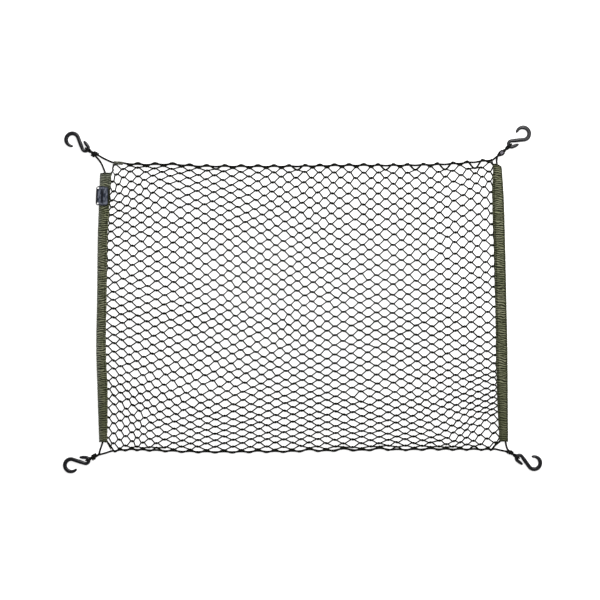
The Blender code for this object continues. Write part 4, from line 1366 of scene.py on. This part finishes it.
def label_plate():
    """Mesh of the flat label, with a rounded edge, about its own middle."""
    data = bpy.data.curves.new("label_outline", "CURVE")
    data.dimensions = "2D"
    data.fill_mode = "BOTH"
    data.bevel_depth = LABEL_BEVEL * MM
    data.bevel_resolution = 3
    data.offset = -LABEL_BEVEL * MM
    data.extrude = (LABEL_THICKNESS / 2.0 - LABEL_BEVEL) * MM
    for outline in label_outlines():
        spline = data.splines.new("POLY")
        spline.points.add(len(outline) - 1)
        for point, (x, y) in zip(spline.points, outline):
            point.co = (x * MM, y * MM, 0.0, 1.0)
        spline.use_cyclic_u = True
    shape = add_to_scene("label_shape", data)
    bpy.context.view_layer.update()
    evaluated = shape.evaluated_get(bpy.context.evaluated_depsgraph_get())
    mesh = bpy.data.meshes.new_from_object(evaluated)
    bpy.data.objects.remove(shape, do_unlink=True)
    return mesh


def split_broad_faces(work):
    bmesh.ops.triangulate(work, faces=[face for face in work.faces if len(face.verts) > 4])


def label_band(x, y):
    """How dark the label is: a band down its middle, and dark edges and ends."""
    middle, half, inset = LABEL_BAND
    outer, inner, end = LABEL_EDGES
    half_width, half_length = LABEL_WIDTH / 2.0, LABEL_LENGTH / 2.0
    marks = (
        (0.88, abs(x - middle) < half and abs(y) < half_length - inset),
        (1.0, x < outer - half_width),
        (0.7, x > half_width - inner),
        (0.85, abs(y) > half_length - end),
    )
    return max(dark if inside else 0.0 for dark, inside in marks)


def label_rise(x, y, z):
    """How far a point of the label lies above its flat place: it sags towards its free side, has
    slow waves there, and a raised rim on its upper face."""
    sag = LABEL_SAG * max(0.0, LABEL_FREE_FROM - x) ** LABEL_SAG_POWER
    wave = LABEL_WAVE * math.sin(y / LABEL_WAVE_LENGTH) if x < LABEL_FLAT_FROM else 0.0
    into_rim = LABEL_RIM + max(abs(x) - LABEL_WIDTH / 2.0, abs(y) - LABEL_LENGTH / 2.0)
    rim = LABEL_RIM_HEIGHT * clamp(into_rim / LABEL_RIM_SLOPE) if z > 0 else 0.0
    return wave - sag + rim


def make_label(look):
    mesh = label_plate()
    work = bmesh.new()
    work.from_mesh(mesh)
    bmesh.ops.remove_doubles(work, verts=work.verts, dist=1e-6)
    split_broad_faces(work)
    for _ in range(LABEL_SPLITS):
        broad = [edge for edge in work.edges if edge.calc_length() > LABEL_MESH_STEP * MM]
        bmesh.ops.subdivide_edges(work, edges=broad, cuts=1)
        split_broad_faces(work)
    right, up = compass(-LABEL_LEAN), compass(90.0 - LABEL_LEAN)
    bands = []
    for vert in work.verts:
        x, y, z = vert.co / MM
        bands.append(label_band(x, y))
        flat = np.array(LABEL_CENTRE) + x * right + y * up
        vert.co = Vector((*flat, LABEL_HEIGHT + z + label_rise(x, y, z))) * MM
    bmesh.ops.recalc_face_normals(work, faces=work.faces)
    work.to_mesh(mesh)
    work.free()
    mesh.shade_smooth()
    mesh.set_sharp_from_angle(angle=math.radians(LABEL_SHARP))
    mesh.materials.clear()
    mesh.materials.append(look)
    mark_points(mesh, "band", bands)
    return add_to_scene("label_tag", mesh)


def make_whipping(look):
    """Turns of thread side by side round the cord at the net's top left corner."""
    whipping = Strands(THREAD_SIDES)
    count = WHIPPING_LENGTH / THREAD_PITCH * WHIPPING_STEPS
    places = []
    for i in range(int(count) + 1):
        x = WHIPPING_START + WHIPPING_LENGTH * i / count
        angle = 2 * math.pi * i / WHIPPING_STEPS
        stray = noise.noise(Vector((x / WHIPPING_UNEVEN_REACH, 0.0, 2.0)))
        reach = WHIPPING_RADIUS + WHIPPING_UNEVEN * stray
        z = CORD_HEIGHT + reach * math.sin(angle)
        places.append((x, edge_line(LONG_EDGES["top"], x) + reach * math.cos(angle),
                       max(THREAD_RADIUS, z)))
    whipping.add(places, THREAD_RADIUS)
    return whipping.make("whipping_turns", look)


# ---- surroundings ----
CAMERA_HEIGHT = 6.0
VIEW_WIDTH = 1.0284          # metres across the picture, on the floor
VIEW_CENTRE = (-0.005, -0.0005)
FLOOR_SIZE = 60.0
FLOOR_GLOW = 0.81
ROOM_LIGHT = 0.28
PANELS = (
    # name, place, what it faces, size, watts
    ("key_panel", (0.6, 1.9, 1.9), (0.0, 0.0, 0.0), 1.0, 58.0),
    ("corner_panel", (0.5, 0.4, 1.4), (0.38, 0.28, 0.0), 0.4, 6.0),
)


def make_camera():
    data = bpy.data.cameras.new("overhead_camera")
    data.sensor_width = 36.0
    data.lens = data.sensor_width * CAMERA_HEIGHT / VIEW_WIDTH
    data.clip_end = 50.0
    camera = add_to_scene("overhead_camera", data)
    camera.location = (*VIEW_CENTRE, CAMERA_HEIGHT)
    bpy.context.scene.camera = camera


def make_floor():
    bpy.ops.object.select_all(action="DESELECT")
    bpy.ops.mesh.primitive_plane_add(size=FLOOR_SIZE, location=(0.0, 0.0, 0.0))
    floor = bpy.context.active_object
    floor.name = "floor"
    look, _, shader = new_look("pale_floor", roughness=0.9, specular=0.1)
    shader.inputs["Base Color"].default_value = (0.75, 0.75, 0.75, 1.0)
    shader.inputs["Emission Color"].default_value = (1.0, 1.0, 1.0, 1.0)
    shader.inputs["Emission Strength"].default_value = FLOOR_GLOW
    floor.data.materials.append(look)


def make_panel(name, place, target, size, power):
    data = bpy.data.lights.new(name, "AREA")
    data.shape = "SQUARE"
    data.size = size
    data.energy = power
    light = add_to_scene(name, data)
    light.location = place
    aim = Vector(target) - Vector(place)
    light.rotation_euler = aim.to_track_quat("-Z", "Y").to_euler()


def make_surroundings():
    world = bpy.data.worlds.new("soft_room")
    world.use_nodes = True
    background = world.node_tree.nodes["Background"]
    background.inputs["Color"].default_value = (1.0, 1.0, 1.0, 1.0)
    background.inputs["Strength"].default_value = ROOM_LIGHT
    bpy.context.scene.world = world
    bpy.context.scene.view_settings.view_transform = "Standard"
    make_floor()
    for panel in PANELS:
        make_panel(*panel)


# ---- putting it together ----
make_camera()
make_surroundings()

twine = twine_look()
netting, net_joints = make_net(twine)
edge_winding = make_winding(twine, net_joints)
cord = make_cord(cord_look(), net_joints)
cloth = cloth_look()
sleeves = {side: make_sleeve("sleeve_cloth_" + side, sleeve, cloth)
           for side, sleeve in SLEEVES.items()}
plastic = plastic_look()
hooks = {place: make_hook(place, corner, plastic) for place, corner in CORNERS.items()}
label = make_label(label_look())
whipping = make_whipping(thread_look())

replaced = {
    netting: ("net", "net_twine"),
    cord: ("shock_cord", "cord"),
    label: ("label", "label_material"),
    whipping: ("corner_whipping", "whipping_thread"),
}
for side, sleeve in sleeves.items():
    replaced[sleeve] = ("sleeve_" + side, "sleeve_fabric")
for place, hook in hooks.items():
    replaced[hook] = ("hook_" + place, "hook_plastic")
for piece, (node, slot) in replaced.items():
    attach(piece, "root")
    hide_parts(node)
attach(edge_winding, "root")
